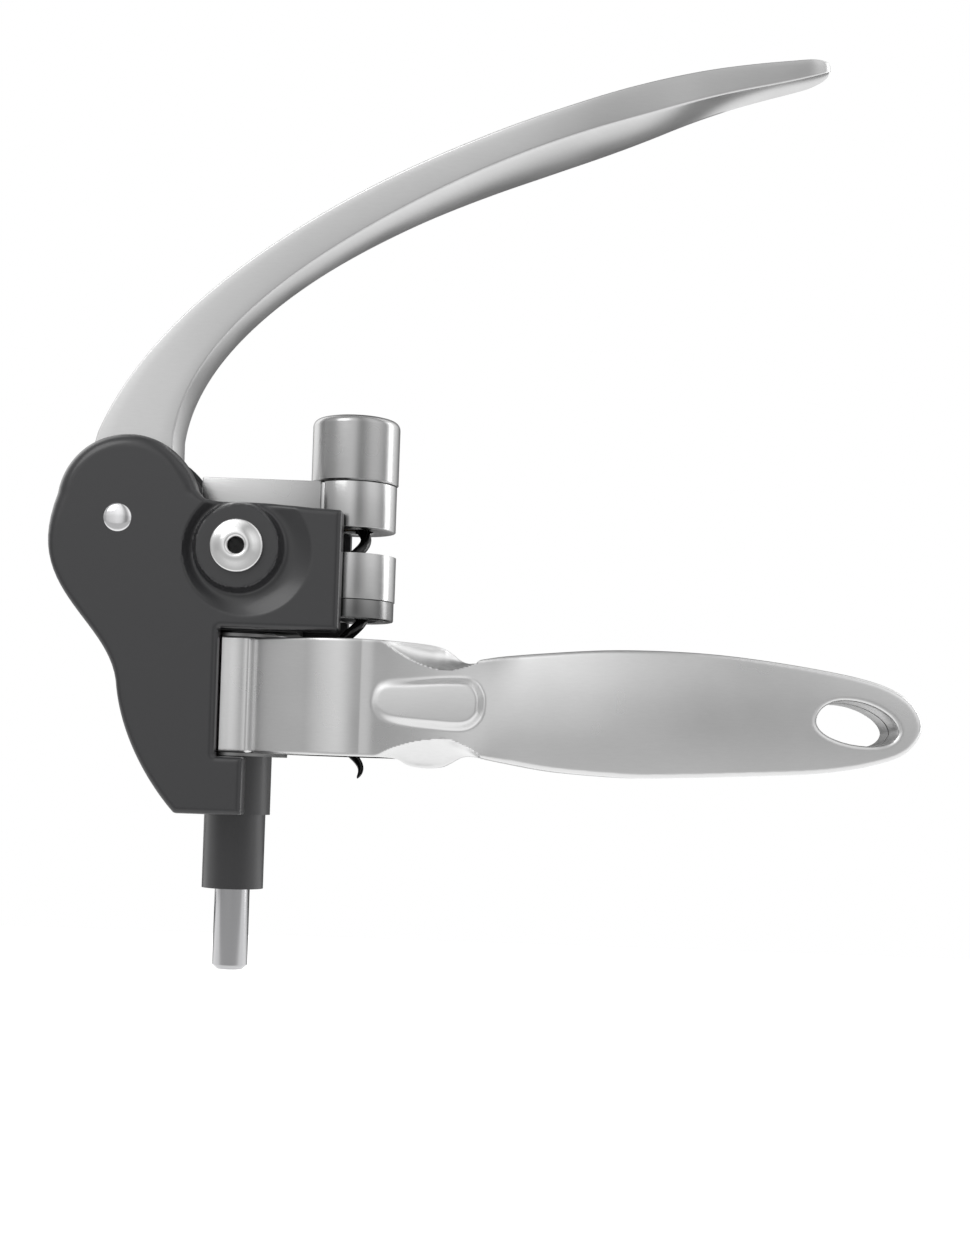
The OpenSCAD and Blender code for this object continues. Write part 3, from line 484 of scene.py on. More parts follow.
def tone_ramp(tree, source, stops, low, high):
    """Smooth change of tone through (place, value) stops, with places from low to high."""
    share = ramped(tree, source, low, high, 0.0, 1.0)
    node = add(tree, "ShaderNodeValToRGB")
    ramp = node.color_ramp
    ramp.interpolation = "EASE"
    while len(ramp.elements) > 1:
        ramp.elements.remove(ramp.elements[-1])
    for i, (place, value) in enumerate(stops):
        position = (place - low) / (high - low)
        stop = ramp.elements[0] if i == 0 else ramp.elements.new(position)
        stop.position = position
        stop.color = (value, value, value, 1)
    tree.links.new(share, node.inputs["Fac"])
    return node.outputs["Color"]


def axes_of(tree, space):
    """X, Y and Z of a texture coordinate."""
    where = add(tree, "ShaderNodeTexCoord")
    axes = add(tree, "ShaderNodeSeparateXYZ")
    tree.links.new(where.outputs[space], axes.inputs["Vector"])
    return axes.outputs


def camera_share(tree, light_path):
    """1 for rays from the camera, also those through glass, and 0 for all others."""
    either = add(tree, "ShaderNodeMath", operation="MAXIMUM")
    tree.links.new(light_path.outputs["Is Camera Ray"], either.inputs[0])
    tree.links.new(light_path.outputs["Is Transmission Ray"], either.inputs[1])
    return either.outputs["Value"]


def mixed(tree, share, first, second):
    mix = add(tree, "ShaderNodeMixShader")
    tree.links.new(share, mix.inputs["Fac"])
    tree.links.new(first, mix.inputs[1])
    tree.links.new(second, mix.inputs[2])
    return mix.outputs["Shader"]


def compass_angle(tree, axes):
    """Angle from -Y towards +X, in radians."""
    ahead = add(tree, "ShaderNodeMath", operation="MULTIPLY")
    ahead.inputs[1].default_value = -1
    tree.links.new(axes["Y"], ahead.inputs[0])
    compass = add(tree, "ShaderNodeMath", operation="ARCTAN2")
    tree.links.new(axes["X"], compass.inputs[0])
    tree.links.new(ahead.outputs["Value"], compass.inputs[1])
    return compass.outputs["Value"]


def make_world():
    """White to the camera; soft brighter and darker zones for what the metal reflects."""
    world = bpy.data.worlds.new("studio")
    bpy.context.scene.world = world
    world.use_nodes = True
    tree = world.node_tree
    tree.nodes.clear()
    axes = axes_of(tree, "Generated")
    room = [(math.radians(angle), value) for angle, value in ROOM]
    soft = add(tree, "ShaderNodeBackground")
    zones = tone_ramp(tree, compass_angle(tree, axes), room, -math.pi, math.pi)
    tree.links.new(zones, soft.inputs["Color"])
    tree.links.new(tone_ramp(tree, axes["Z"], LEVELS, -1.0, 1.0), soft.inputs["Strength"])
    white = add(tree, "ShaderNodeBackground", Color=(1, 1, 1, 1))
    output = add(tree, "ShaderNodeOutputWorld")
    seen = camera_share(tree, add(tree, "ShaderNodeLightPath"))
    surface = mixed(tree, seen, soft.outputs["Background"], white.outputs["Background"])
    tree.links.new(surface, output.inputs["Surface"])


def make_floor():
    """A pale floor, lifted to white where the camera sees it, that keeps the shadow.

    Metal sees it brightest below the object and dark far behind it.
    """
    material = bpy.data.materials.new("floor")
    material.use_nodes = True
    tree = material.node_tree
    tree.nodes.clear()
    light_path = add(tree, "ShaderNodeLightPath")
    diffuse = add(tree, "ShaderNodeBsdfDiffuse", Color=(FLOOR_GREY, FLOOR_GREY, FLOOR_GREY, 1))
    glow = add(tree, "ShaderNodeEmission")
    lifted = ramped(tree, camera_share(tree, light_path), 0.0, 1.0, 0.0, FLOOR_GLOW)
    tree.links.new(lifted, glow.inputs["Strength"])
    both = add(tree, "ShaderNodeAddShader")
    tree.links.new(diffuse.outputs["BSDF"], both.inputs[0])
    tree.links.new(glow.outputs["Emission"], both.inputs[1])
    mirror = add(tree, "ShaderNodeEmission")
    tone = tone_ramp(tree, axes_of(tree, "Object")["Y"], FLOOR_MIRROR, -FLOOR_HALF, FLOOR_HALF)
    tree.links.new(tone, mirror.inputs["Strength"])
    surface = mixed(tree, light_path.outputs["Is Glossy Ray"], both.outputs["Shader"],
                    mirror.outputs["Emission"])
    output = add(tree, "ShaderNodeOutputMaterial")
    tree.links.new(surface, output.inputs["Surface"])
    corners = [(x * FLOOR_HALF, y * FLOOR_HALF, FLOOR_Z)
               for x, y in ((-1, -1), (1, -1), (1, 1), (-1, 1))]
    mesh = bpy.data.meshes.new("floor")
    mesh.from_pydata(corners, [], [(0, 1, 2, 3)])
    mesh.materials.append(material)
    floor = bpy.data.objects.new("floor", mesh)
    bpy.context.collection.objects.link(floor)


def make_lamp(name, place, size, watts):
    data = bpy.data.lights.new(name, "AREA")
    data.shape = "RECTANGLE"
    data.size, data.size_y = size
    data.energy = watts
    lamp = bpy.data.objects.new(name, data)
    lamp.location = place
    lamp.rotation_euler = (LAMP_AIM - Vector(place)).to_track_quat("-Z", "Y").to_euler()
    bpy.context.collection.objects.link(lamp)


make_world()
make_floor()
make_lamp("key", (-0.55, -0.75, 0.75), (0.6, 0.6), 2.4)
make_lamp("side", (0.91, 0.28, 0.20), (0.24, 0.9), 1.8)


# Reliefs: plates drawn as outlines in X and Z, with a front and a back surface

# A plate's grid ends this far inside its edge, and rings at these distances lead on to the edge
EDGE_LEVEL = 0.25
EDGE_RINGS = (0.12, 0.04, 0.0)
ON_EDGE = 1e-9
# Grid points move onto the edge from up to this share of a grid step away
SNAP_SHARE = 0.55


def nearest_on(loops, points):
    """Nearest place on the loops, and the distance, positive inside."""
    starts = np.concatenate(loops)
    ends = np.concatenate([np.roll(loop, -1, axis=0) for loop in loops])
    best = np.full(len(points), np.inf)
    place = np.zeros_like(points)
    inside = np.zeros(len(points), bool)
    x, z = points[:, 0], points[:, 1]
    for a, b in zip(starts, ends):
        ab = b - a
        t = np.clip(((x - a[0]) * ab[0] + (z - a[1]) * ab[1]) / max(ab @ ab, 1e-12), 0, 1)
        qx, qz = a[0] + t * ab[0], a[1] + t * ab[1]
        gap = (x - qx) ** 2 + (z - qz) ** 2
        near = gap < best
        best = np.where(near, gap, best)
        place[near, 0] = qx[near]
        place[near, 1] = qz[near]
        if a[1] != b[1]:
            crossing = (a[1] > z) != (b[1] > z)
            inside ^= crossing & (x < a[0] + (z - a[1]) / (b[1] - a[1]) * ab[0])
    return place, np.sqrt(best) * np.where(inside, 1, -1)


def snapped_grid(loops, columns, rows):
    """Grid points, their distance to the edge, which are kept, and which moved to EDGE_LEVEL."""
    grid = np.stack(np.meshgrid(columns, rows, indexing="ij"), axis=-1).reshape(-1, 2)
    place, gap = nearest_on(loops, grid)
    widest = max(np.diff(columns).max(), np.diff(rows).max())
    step = np.maximum(np.gradient(columns)[:, None], np.gradient(rows)[None, :]).reshape(-1)
    level = gap - EDGE_LEVEL
    off_edge = np.abs(gap) > ON_EDGE
    near = np.abs(level) < np.minimum(SNAP_SHARE * widest, SNAP_SHARE * step)
    snap = near & off_edge
    inward = (grid - place) / np.where(off_edge, gap, 1)[:, None]
    grid[snap] = place[snap] + inward[snap] * EDGE_LEVEL
    return grid, np.where(snap, EDGE_LEVEL, gap), snap | (level > 0), snap


def plate_faces(loops, columns, rows):
    """Points inside the loops, their distance to the edge, and the faces between them."""
    grid, gap, keep, snap = snapped_grid(loops, columns, rows)
    ids = np.arange(len(grid)).reshape(len(columns), len(rows))
    cells = np.stack([ids[:-1, :-1].ravel(), ids[1:, :-1].ravel(),
                      ids[1:, 1:].ravel(), ids[:-1, 1:].ravel()], axis=1)
    cells = cells[keep[cells].sum(axis=1) > 2]
    faces = [[v for v in cell if keep[v]] for cell in cells]
    doubtful = [i for i, f in enumerate(faces) if all(snap[v] for v in f)]
    if doubtful:
        middles = np.array([grid[faces[i]].mean(axis=0) for i in doubtful])
        outside = nearest_on(loops, middles)[1] < EDGE_LEVEL + 0.02
        dropped = {i for i, out in zip(doubtful, outside) if out}
        faces = [f for i, f in enumerate(faces) if i not in dropped]
    used = np.unique(np.concatenate([np.array(f) for f in faces]))
    number = -np.ones(len(grid), int)
    number[used] = np.arange(len(used))
    return grid[used], gap[used], [[int(number[v]) for v in f] for f in faces]


def open_edges(faces):
    """Edges that no neighbouring face runs the other way."""
    directed = dict.fromkeys(edge for f in faces for edge in zip(f, f[1:] + f[:1]))
    return [(a, b) for a, b in directed if (b, a) not in directed]


def relief(name, loops, columns, rows, front, back, material):
    """A plate between front(x, z, d) and back(x, z, d), where d is the distance to the edge.

    Both give the place along -Y. The grid follows columns and rows and is moved onto the edge.
    """
    flat, depth, faces = plate_faces(loops, columns, rows)
    rim = open_edges(faces)
    rim_ids = sorted({v for edge in rim for v in edge})
    rim_place, rim_gap = nearest_on(loops, flat[rim_ids])
    rim_inward = (flat[rim_ids] - rim_place) / rim_gap[:, None]
    points, all_faces, edges = [], [], []

    def add_layer(surface, xz, distance):
        start = len(points)
        y = surface(xz[:, 0], xz[:, 1], distance)
        points.extend((p[0], -out, p[1]) for p, out in zip(xz, y))
        return start

    for surface, turn in ((front, 1), (back, -1)):
        start = add_layer(surface, flat, depth)
        all_faces.extend([start + v for v in f][::turn] for f in faces)
        inner = {v: start + v for v in rim_ids}
        for distance in EDGE_RINGS:
            ring = rim_place + rim_inward * distance
            start = add_layer(surface, ring, np.full(len(ring), distance))
            outer = {v: start + i for i, v in enumerate(rim_ids)}
            all_faces.extend([inner[b], inner[a], outer[a], outer[b]][::turn] for a, b in rim)
            inner = outer
        edges.append(inner)
    near, far = edges
    all_faces.extend([near[b], near[a], far[a], far[b]] for a, b in rim)
    return make_object(name, points, all_faces, material)


# Grips

JAW_Z = 13.0
JAW_R = 18.35
JAW_IN_R = 16.55
ROD_X = -25.0
BARREL_R = 12.2
KNUCKLE_R = 10.0
TUBE_R = 8.0
SHELL_END_DEG = 22.0
HALF_GAP = 0.6
NEAR_KNUCKLES = ((-13.0, -4.45), (4.45, 13.0))
FAR_KNUCKLES = ((-4.15, 4.15),)
KNUCKLE_INSET, KNUCKLE_ROOM, TUBE_ROOM = 0.02, 0.3, 0.05
# Cutters reach this far, past all that they cut
PAST = 20
# Least length that a share is taken of
LEAST = 0.3

# Where along X the barrel, the band with its valley, the jaw and the web begin or end
RIDGE_X, BARREL_END, JAW_START, WEB_START = -28.0, -21.4, -8.3, 4.2
# Straight stretches of the band: (X, how far out there, change per mm), and how wide the
# rounding between the two of the valley is
RIDGE = (RIDGE_X, 12.2, -0.045)
FALL = (BARREL_END, 11.9, -1.6)
FLAT = (-19.7, 10.8, 0.487)
VALLEY_ROUND = 0.35

# The leaf's outline from above and below the jaw to its tip
EDGE_TOP = [(6, 13), (12.5, 13), (16.5, 12.9), (20, 12.6), (22.3, 12), (24.2, 10.9), (25.8, 9.7),
            (27.6, 9.1), (30, 9.4), (36, 10.5), (46, 11.6), (58, 12.6), (70, 12.9), (82, 12.6),
            (94, 11.6), (106, 10.1), (116, 8.4), (123, 6.3), (127.8, 3.2)]
EDGE_LOW = [(6, -13), (9.5, -13), (12.4, -13.3), (14.8, -14.6), (18, -15), (22, -14.7),
            (24.2, -13.7), (26.4, -12.4), (28.5, -12), (31, -12.3), (36, -13.2), (46, -14.7),
            (56, -15.4), (66, -15.7), (76, -15.3), (88, -14.6), (103, -13.6), (112, -12.5),
            (119, -11.0), (125.4, -8.8), (128.9, -5.6)]
LEAF_TIP = (130.2, -1.4)
HOLE = [(105.8, -1.8), (106.9, 1.2), (110.2, 3.0), (114.8, 3.1), (119.5, 1.8), (123.2, -0.6),
        (124.6, -3.4), (122.8, -5.8), (118.6, -6.7), (112.8, -6.2), (107.9, -4.4)]
# How far the web and leaf stand out, by X
WEB = [(4, 17.9), (6.6, 16.9), (9, 16.4), (15, 15.5), (21, 14.9), (27, 14.7), (33, 14.9),
       (45, 15.5), (58, 15.8), (70, 15.6), (84, 14.9), (98, 13.8), (112, 12.4), (122, 11.0),
       (130, 9.6)]

# The scooped shoulders: where along X, how far out their outer edges are, and where in Z
# their inner edges run
SHOULDERS, SCOOP_POWER = (5, 33), 0.85
SCOOP = [(6, 17.3), (8, 16.4), (12, 13), (16, 10), (20, 7.5), (24, 5), (28, 4.5), (33, 4.5)]
FRONT_TOP = [(5, 13.2), (8, 12.9), (11.6, 10.7), (14.7, 9.0), (19, 7.4), (23.3, 6.9), (26.7, 7.7),
             (29.6, 9.0), (33, 12.0)]
FRONT_LOW = [(5, -13.2), (8, -12.6), (11, -11.1), (15.3, -9.6), (19.6, -8.8), (23.9, -8.6),
             (26.5, -9.6), (30.3, -11.6), (33, -14.5)]

# The raised thumb pad: its outline, how far out it is at (PAD_X, PAD_Z), how that changes,
# and how far inside its outline it begins to rise and is fully up
PAD = smooth_path([(6.3, -1.0), (7.2, 2.2), (9.6, 3.8), (14.8, 4.3), (23.3, 5.0), (28.6, 4.7),
                   (30.8, 2.2), (31.2, -0.8), (30.4, -3.8), (27.1, -6.0), (19.5, -5.9),
                   (11.2, -5.1), (7.9, -3.6)], closed=True)
PAD_OUT, PAD_X, PAD_Z, PAD_FALL, PAD_CROWN = 17.05, 8, -1, 0.012, 0.012
PAD_RIM = (-0.6, 1.6)

# Where the leaf's crown sets in, the crown, and the lip round it
LEAF_START = (27.0, 40.0)
LEAF_MIDDLE_Z, LEAF_CROWN = -1.6, 0.0085
LIP_R, LIP_GROWTH, LIP_SLOPE = 0.5, 0.35, 0.12

# The grid that the grip is drawn on: angles on the barrel, then steps in X and in Z
BARREL_ANGLES = np.arange(9, 76, 3.0)
GRID_X = (np.arange(-28, 4, 0.42), np.arange(4, 36, 0.3), np.arange(36, 131, 0.5))
GRID_Z = np.arange(-16.6, 13.6, 0.3)
BAND_X = np.arange(-37.0, 6, 1.0)


def stretch(line, x):
    """How far out a straight stretch of the band is."""
    start, out, change = line
    return out + change * (x - start)


def band_out(x):
    """The barrel, the valley after it, and the jaw."""
    barrel = np.sqrt(np.maximum(BARREL_R ** 2 - (x - ROD_X) ** 2, 0.3))
    jaw = np.sqrt(np.maximum(JAW_R ** 2 - x ** 2, 0.01))
    valley = soft_max(stretch(FALL, x), stretch(FLAT, x), VALLEY_ROUND)
    band = np.where(x < BARREL_END, barrel, np.where(x < JAW_START, valley, jaw))
    on_ridge = (x > RIDGE_X) & (x < BARREL_END)
    return np.where(on_ridge, np.maximum(band, stretch(RIDGE, x)), band)


def scoop_share(x, z):
    """0 on the web's front, rising to 1 at the outer edge of the shoulders."""
    top, low = curve(FRONT_TOP, x), curve(FRONT_LOW, x)
    rim_top = np.interp(x, *zip(*EDGE_TOP))
    rim_low = np.interp(x, *zip(*EDGE_LOW))
    above = np.clip((z - top) / np.maximum(rim_top - top, LEAST), 0, 1)
    below = np.clip((low - z) / np.maximum(low - rim_low, LEAST), 0, 1)
    return np.where((x > SHOULDERS[0]) & (x < SHOULDERS[1]), np.maximum(above, below), 0)


def grip_front(x, z, d):
    """How far the grip's outside stands from the middle plane."""
    out = np.where(x < WEB_START, band_out(x), curve(WEB, x))
    share = np.sin(0.5 * np.pi * scoop_share(x, z)) ** SCOOP_POWER
    out = out - (out - np.minimum(curve(SCOOP, x), out)) * share
    inside = nearest_on([PAD], np.stack([x, z], axis=1))[1] if len(x) else x
    pad = PAD_OUT - PAD_FALL * (x - PAD_X) - PAD_CROWN * (z - PAD_Z) ** 2
    rise = smooth_step(inside, *PAD_RIM)
    out = np.where(x > WEB_START, out + np.maximum(pad - out, 0) * rise, out)
    leaf = smooth_step(x, *LEAF_START)
    out = out - leaf * (LEAF_CROWN * (z - LEAF_MIDDLE_Z) ** 2)
    radius = LIP_R + LIP_GROWTH * leaf
    return out - edge_drop(d, radius) - leaf * LIP_SLOPE * np.maximum(radius - d, 0)


def grip_outline():
    leaf = smooth_path([*EDGE_TOP, LEAF_TIP, *EDGE_LOW[::-1]])
    low = np.stack([BAND_X, np.full(len(BAND_X), -JAW_Z)], axis=1)
    top = np.stack([BAND_X[::-1], np.full(len(BAND_X), JAW_Z)], axis=1)
    return np.concatenate([low, leaf[::-1], top])


def make_grip(name, own, other, far, node, body):
    """One grip; own and other are the low and high ends of its and the other grip's knuckles."""
    barrel = ROD_X - BARREL_R * np.cos(np.radians(BARREL_ANGLES))
    loops = [grip_outline(), smooth_path(HOLE, closed=True)]
    grip = relief(name, loops, np.concatenate([barrel, *GRID_X]), GRID_Z, grip_front,
                  lambda x, z, d: np.full(len(x), HALF_GAP), SATIN)
    a = math.radians(SHELL_END_DEG)
    back, side = ROD_X - PAST * math.cos(a), PAST * math.sin(a)
    cut(grip, prism_z([(ROD_X, 0), (back, side), (back, -side)], -PAST, PAST))
    for low, high in own:
        cut(grip, bar_z(ROD_X, KNUCKLE_R, low + KNUCKLE_INSET, high - KNUCKLE_INSET), "UNION")
    for low, high in other:
        cut(grip, bar_z(ROD_X, KNUCKLE_R + KNUCKLE_ROOM, low - KNUCKLE_ROOM, high + KNUCKLE_ROOM))
    cut(grip, bar_z(ROD_X, TUBE_R + TUBE_ROOM, -PAST, PAST))
    cut(grip, bar_z(0, JAW_IN_R, -PAST, PAST))
    if far:
        mirror_y(grip)
    tidy_edges(grip)
    dress(grip, node, body)


def make_grips():
    make_grip("grip_near_skin", NEAR_KNUCKLES, FAR_KNUCKLES, False, "grip_near", "near_grip")
    make_grip("grip_far_skin", FAR_KNUCKLES, NEAR_KNUCKLES, True, "grip_far", "far_grip")


# Side covers

BOLT = (-24.2, 32.4)
PIVOT = (-51.0, 38.0)
SCREWS = ((-44.9, 2.1), (-33.0, -23.0))
COVER_Y = 17.0
CHEEK_OUT = 10.9
SEAT_GAP = 0.02

DISC = (-49.3, 41.2, 15.8)
WAIST = (-50.4, 2.1)
FOOT_CORNER = (-36.5, -27.0)
NOTCH_LOW, NOTCH_HIGH = -14, 14.5
BLOCK = [(-21.5, -27), (-21.5, NOTCH_LOW), (-28, NOTCH_LOW), (-28, NOTCH_HIGH),
         (-1.4, NOTCH_HIGH), (-1.4, 41.5)]
# Corner radii by place: the foot, then the block's corners
BLOCK_RADII = {1: 1.2, 2: 0.8, 3: 0.5, 4: 0.5, 5: 0.6, 6: 0.8, 7: 0.8}
BLOCK_TOP = [(-8, 41.75), (-13, 42.1), (-18, 42.55), (-24, 42.7), (-29.5, 42.65),
             (-32.1, 43.05), (-33.5, 44.6)]

BOSS_R, BOSS_OUT, BOSS_EDGE = 9.8, 1.6, (-0.7, 0.1)
# The dish round the boss: its middle and radius, and its depth
RECESS, RECESS_DEPTH = (-22.2, 31.5, 14.4), 1.5
# The rounding of the cover's edge, and how much it grows on the round top
EDGE_R, BROW_R, BROW_Z, BROW_X = 1.3, 1.9, (26, 44), (32, 38)
RIM_WALL, FRONT_WALL = 1.9, 2.2
PIVOT_SEAT_R, SCREW_SEAT_R = 6.5, 3.2
BARREL_ROOM_R = 12.8
BORE_R = 3.0
SCREW_R, SCREW_HEAD_R, SCREW_HEAD_DEPTH, SCREW_TIP_DEPTH = 1.2, 2.2, 1.3, 2.6
BEYOND = -30
COVER_X, COVER_Z = np.arange(-67.2, -0.9, 0.34), np.arange(-27.6, 58, 0.34)


def cover_outline():
    """The round top, the S-shaped tail, the block with its notch for the grips, and its top."""
    disc = np.array(arc(*DISC, 14, 172, 60))
    left, (wx, wz), (fx, fz) = tuple(disc[-1]), WAIST, FOOT_CORNER
    t = np.linspace(0, 1, 24, endpoint=False)[:, None]
    side = bezier([left, (left[0] - 7.5, left[1] - 21.8), (wx - 2.3, wz + 13.8), WAIST], t)
    low = bezier([WAIST, (wx + 1.2, wz - 12.1), (fx - 5.9, fz + 6.3), FOOT_CORNER], t)
    block = rounded([tuple(low[-1]), FOOT_CORNER, *BLOCK, BLOCK_TOP[0]], BLOCK_RADII)[1:]
    top = smooth_path(BLOCK_TOP)[1:-1]
    return np.concatenate([disc, side[1:], low[:-1], np.array(block), top])


def cover_front(x, z, d):
    past_boss = np.hypot(x - BOLT[0], z - BOLT[1]) - BOSS_R
    boss = BOSS_OUT * (1 - smooth_step(past_boss, *BOSS_EDGE))
    to_wall = RECESS[2] - np.hypot(x - RECESS[0], z - RECESS[1])
    u = np.clip(past_boss / np.maximum(past_boss + to_wall, LEAST), 0, 1)
    dish = RECESS_DEPTH * np.sin(np.pi * np.sqrt(u)) ** 0.9
    recess = np.where((past_boss > -0.1) & (to_wall > 0), dish, 0)
    brow = smooth_step(z, *BROW_Z) * smooth_step(-x, *BROW_X)
    return COVER_Y + boss - recess - edge_drop(d, EDGE_R + BROW_R * brow)


def cover_back(x, z, d):
    seat = CHEEK_OUT + SEAT_GAP
    pan = np.where(d < RIM_WALL, seat, COVER_Y - FRONT_WALL)
    seats = [(*BOLT, BOSS_R), (*PIVOT, PIVOT_SEAT_R), *((*s, SCREW_SEAT_R) for s in SCREWS)]
    for px, pz, radius in seats:
        pan = np.where(np.hypot(x - px, z - pz) < radius, seat, pan)
    barrel = np.sqrt(np.maximum(BARREL_ROOM_R ** 2 - (x - ROD_X) ** 2, 0))
    return np.where((z > NOTCH_LOW) & (z < NOTCH_HIGH), np.maximum(pan, barrel), pan)


def make_cover(name, node, far):
    cover = relief(name, [cover_outline()], COVER_X, COVER_Z, cover_front, cover_back, GRAPHITE)
    cut(cover, bar_y(*PIVOT, BORE_R, BEYOND, 0))
    cut(cover, bar_y(*BOLT, BORE_R, BEYOND, 0))
    for x, z in SCREWS:
        if far:
            cut(cover, bar_y(x, z, SCREW_R, BEYOND, 0))
            cut(cover, bar_y(x, z, SCREW_HEAD_R, BEYOND, SCREW_HEAD_DEPTH - COVER_Y))
        else:
            cut(cover, bar_y(x, z, SCREW_R, -(CHEEK_OUT + SCREW_TIP_DEPTH), 0))
    if far:
        mirror_y(cover)
    tidy_edges(cover)
    dress(cover, node, "frame_body")


def make_covers():
    make_cover("cover_near_skin", "side_cover_near", False)
    make_cover("cover_far_skin", "side_cover_far", True)


# Lever

REACH, RISE, FOOT = 157.0, 111.0, 20.2
FOOT_TOP_X, FOOT_LOW_X = -7, 11.3
ROOT_Y, ROOT_R = 8.0, 12.0
# The round part of the root, in degrees, and the corners where it meets the lever's foot
ROOT_START, ROOT_END, ROOT_TOP_X, ROOT_LOW_X, ROOT_OVERLAP = 165, 366, -8.9, 11.35, 7
# By share of the reach: half the width; the side's share of the depth; how far the upper and
# lower edges are lifted; and the keel's share of the rest of the depth, or where that is below
# 0, how far the underside is hollowed
HALF_WIDTH = [(0, 8.0), (0.12, 7.8), (0.25, 8.3), (0.38, 9.9), (0.5, 11.8), (0.58, 12.6),
              (0.66, 12.2), (0.74, 10.4), (0.82, 7.9), (0.9, 6.0), (1.0, 4.7)]
SIDE_SHARE = [(0, 0.94), (0.15, 0.92), (0.24, 0.89), (0.33, 0.86), (0.41, 0.83), (0.5, 0.81),
              (0.6, 0.81), (0.73, 0.80), (0.79, 0.75), (0.86, 0.72), (0.94, 0.74), (1.0, 0.75)]
TOP_LIFT = [(0, 0.2), (0.15, 0.5), (0.35, 0.6), (0.5, 0.2), (0.62, 0.2), (0.72, 0.8), (0.82, 1.1),
            (0.9, 0.5), (0.96, -0.3), (1.0, -0.7)]
LOW_LIFT = [(0, 0), (0.78, 0), (0.85, -0.3), (0.95, -0.6), (1.0, -0.5)]
KEEL = [(0, 1.0), (0.2, 0.95), (0.3, 0.88), (0.45, 0.84), (0.6, 0.86), (0.68, 0.9), (0.72, 0.8),
        (0.78, 0.2), (0.83, -0.6), (0.9, -1.2), (1.0, -0.8)]
TOP_CROWN, SIDE_LEAN = 0.5, 0.5
# The rounded end: where it starts and how long it is, as shares of the lever's length, and how
# much of the depth and width is left at the tip
TIP_START, TIP_LENGTH, TIP_DEPTH, TIP_WIDTH = 0.97, 0.0305, 0.35, 0.25
LEVER_SHARP_DEG = 32.0

# The gear sector's room in the root, and the bores for hub and pins
TEETH, FIRST_TOOTH, LAST_TOOTH, SLOT_MARGIN_DEG = 38, -10.5, 1.5, 2
SLOT_R, SLOT_HALF, SLOT_HUB_R = 32, 4, 8.5
HUB_R, PIN_R, PIN_REACH, PIN_ANGLES, BORE_HALF = 4.5, 1.5, 9, (-75, -20), 12


def lever_edges(t):
    """Upper and lower edge of the lever, from below its foot (t < 0, in mm) to its tip (1)."""
    if t < 0:
        return (np.array([FOOT_TOP_X + t * 0.27, FOOT + t]),
                np.array([FOOT_LOW_X - t * 0.01, FOOT + t]))
    top = bezier([(FOOT_TOP_X, FOOT), (REACH * 0.079, RISE * 0.617), (REACH * 0.591, RISE * 0.895),
                  (REACH * 0.996, RISE * 1.015)], t)
    low = bezier([(FOOT_LOW_X, FOOT), (REACH * 0.104, RISE * 0.571), (REACH * 0.63, RISE * 0.794),
                  (REACH, RISE * 0.976)], t)
    top[1] += curve(TOP_LIFT, top[:1] / REACH)[0]
    low[1] += curve(LOW_LIFT, low[:1] / REACH)[0]
    return top, low


def half_ring(half, side, depth, keel):
    """Half a section as (distance from the middle, depth), from the top's middle to the keel."""
    edge = min(0.55, 0.25 * side)
    foot = min(0.6, 0.2 * (depth - side) + 0.25)
    ring = []
    # top, crowned
    for k in range(7):
        across = half - edge - (half - edge) * (6 - k) / 6
        ring.append((across, -TOP_CROWN * (1 - (k / 6) ** 2)))
    # upper edge
    for k in range(1, 7):
        a = math.radians(15 * k)
        ring.append((half - edge + edge * math.sin(a), edge - edge * math.cos(a)))
    # side
    for k in range(1, 6):
        ring.append((half - SIDE_LEAN * (k / 5) ** 1.5, edge + (side - foot - edge) * k / 5))
    # lower edge
    half -= SIDE_LEAN
    for k in range(1, 5):
        a = math.radians(20 * k)
        ring.append((half - foot + foot * math.cos(a), side - foot + foot * math.sin(a)))
    # keel
    y0, v0 = ring[-1]
    drop = (depth - v0) if keel > 0 else 1.0
    for k in range(1, 12):
        s = k / 11
        ring.append((y0 * (1 - s), v0 + keel * drop * math.sin(math.pi / 2 * s ** 0.9)))
    return ring


def lever_section(t):
    """Where a section starts, its downward direction, and one closed ring of the skin."""
    top, low = lever_edges(t)
    down = low - top
    depth = float(np.linalg.norm(down))
    down = down / depth
    u = float(np.clip((top[0] + low[0]) / 2 / REACH, 0, 1))
    half, share, keel = (float(curve(table, np.array([u]))[0])
                         for table in (HALF_WIDTH, SIDE_SHARE, KEEL))
    ring = half_ring(half, depth * share, depth, keel)
    return top, down, ring + [(-y, v) for y, v in ring[-2:0:-1]]


def lever_skin():
    points = []
    stations = [-7.5, -5, -2.5, *np.linspace(0, TIP_START, 96),
                0.976, 0.982, 0.987, 0.991, 0.9945, 0.9975, 1.0]
    for t in stations:
        top, down, ring = lever_section(t)
        shrink = 1.0
        if t >= TIP_START:
            shrink = math.sqrt(max(1 - ((t - TIP_START) / TIP_LENGTH) ** 2, 0.02))
        deep, wide = (least + (1 - least) * shrink for least in (TIP_DEPTH, TIP_WIDTH))
        middle = max(v for _, v in ring) / 2
        for y, v in ring:
            x, z = top + down * (middle + (v - middle) * deep)
            points.append((PIVOT[0] + x, y * wide, PIVOT[1] + z))
    count = len(ring)
    faces = tube_faces(len(stations), count)
    faces.append(list(range(count))[::-1])
    faces.append([(len(stations) - 1) * count + j for j in range(count)])
    lever = make_object("lever_skin", points, faces, LEVER_SATIN, LEVER_SHARP_DEG)
    with editing(lever.data) as work:
        bmesh.ops.recalc_face_normals(work, faces=work.faces)
    return lever


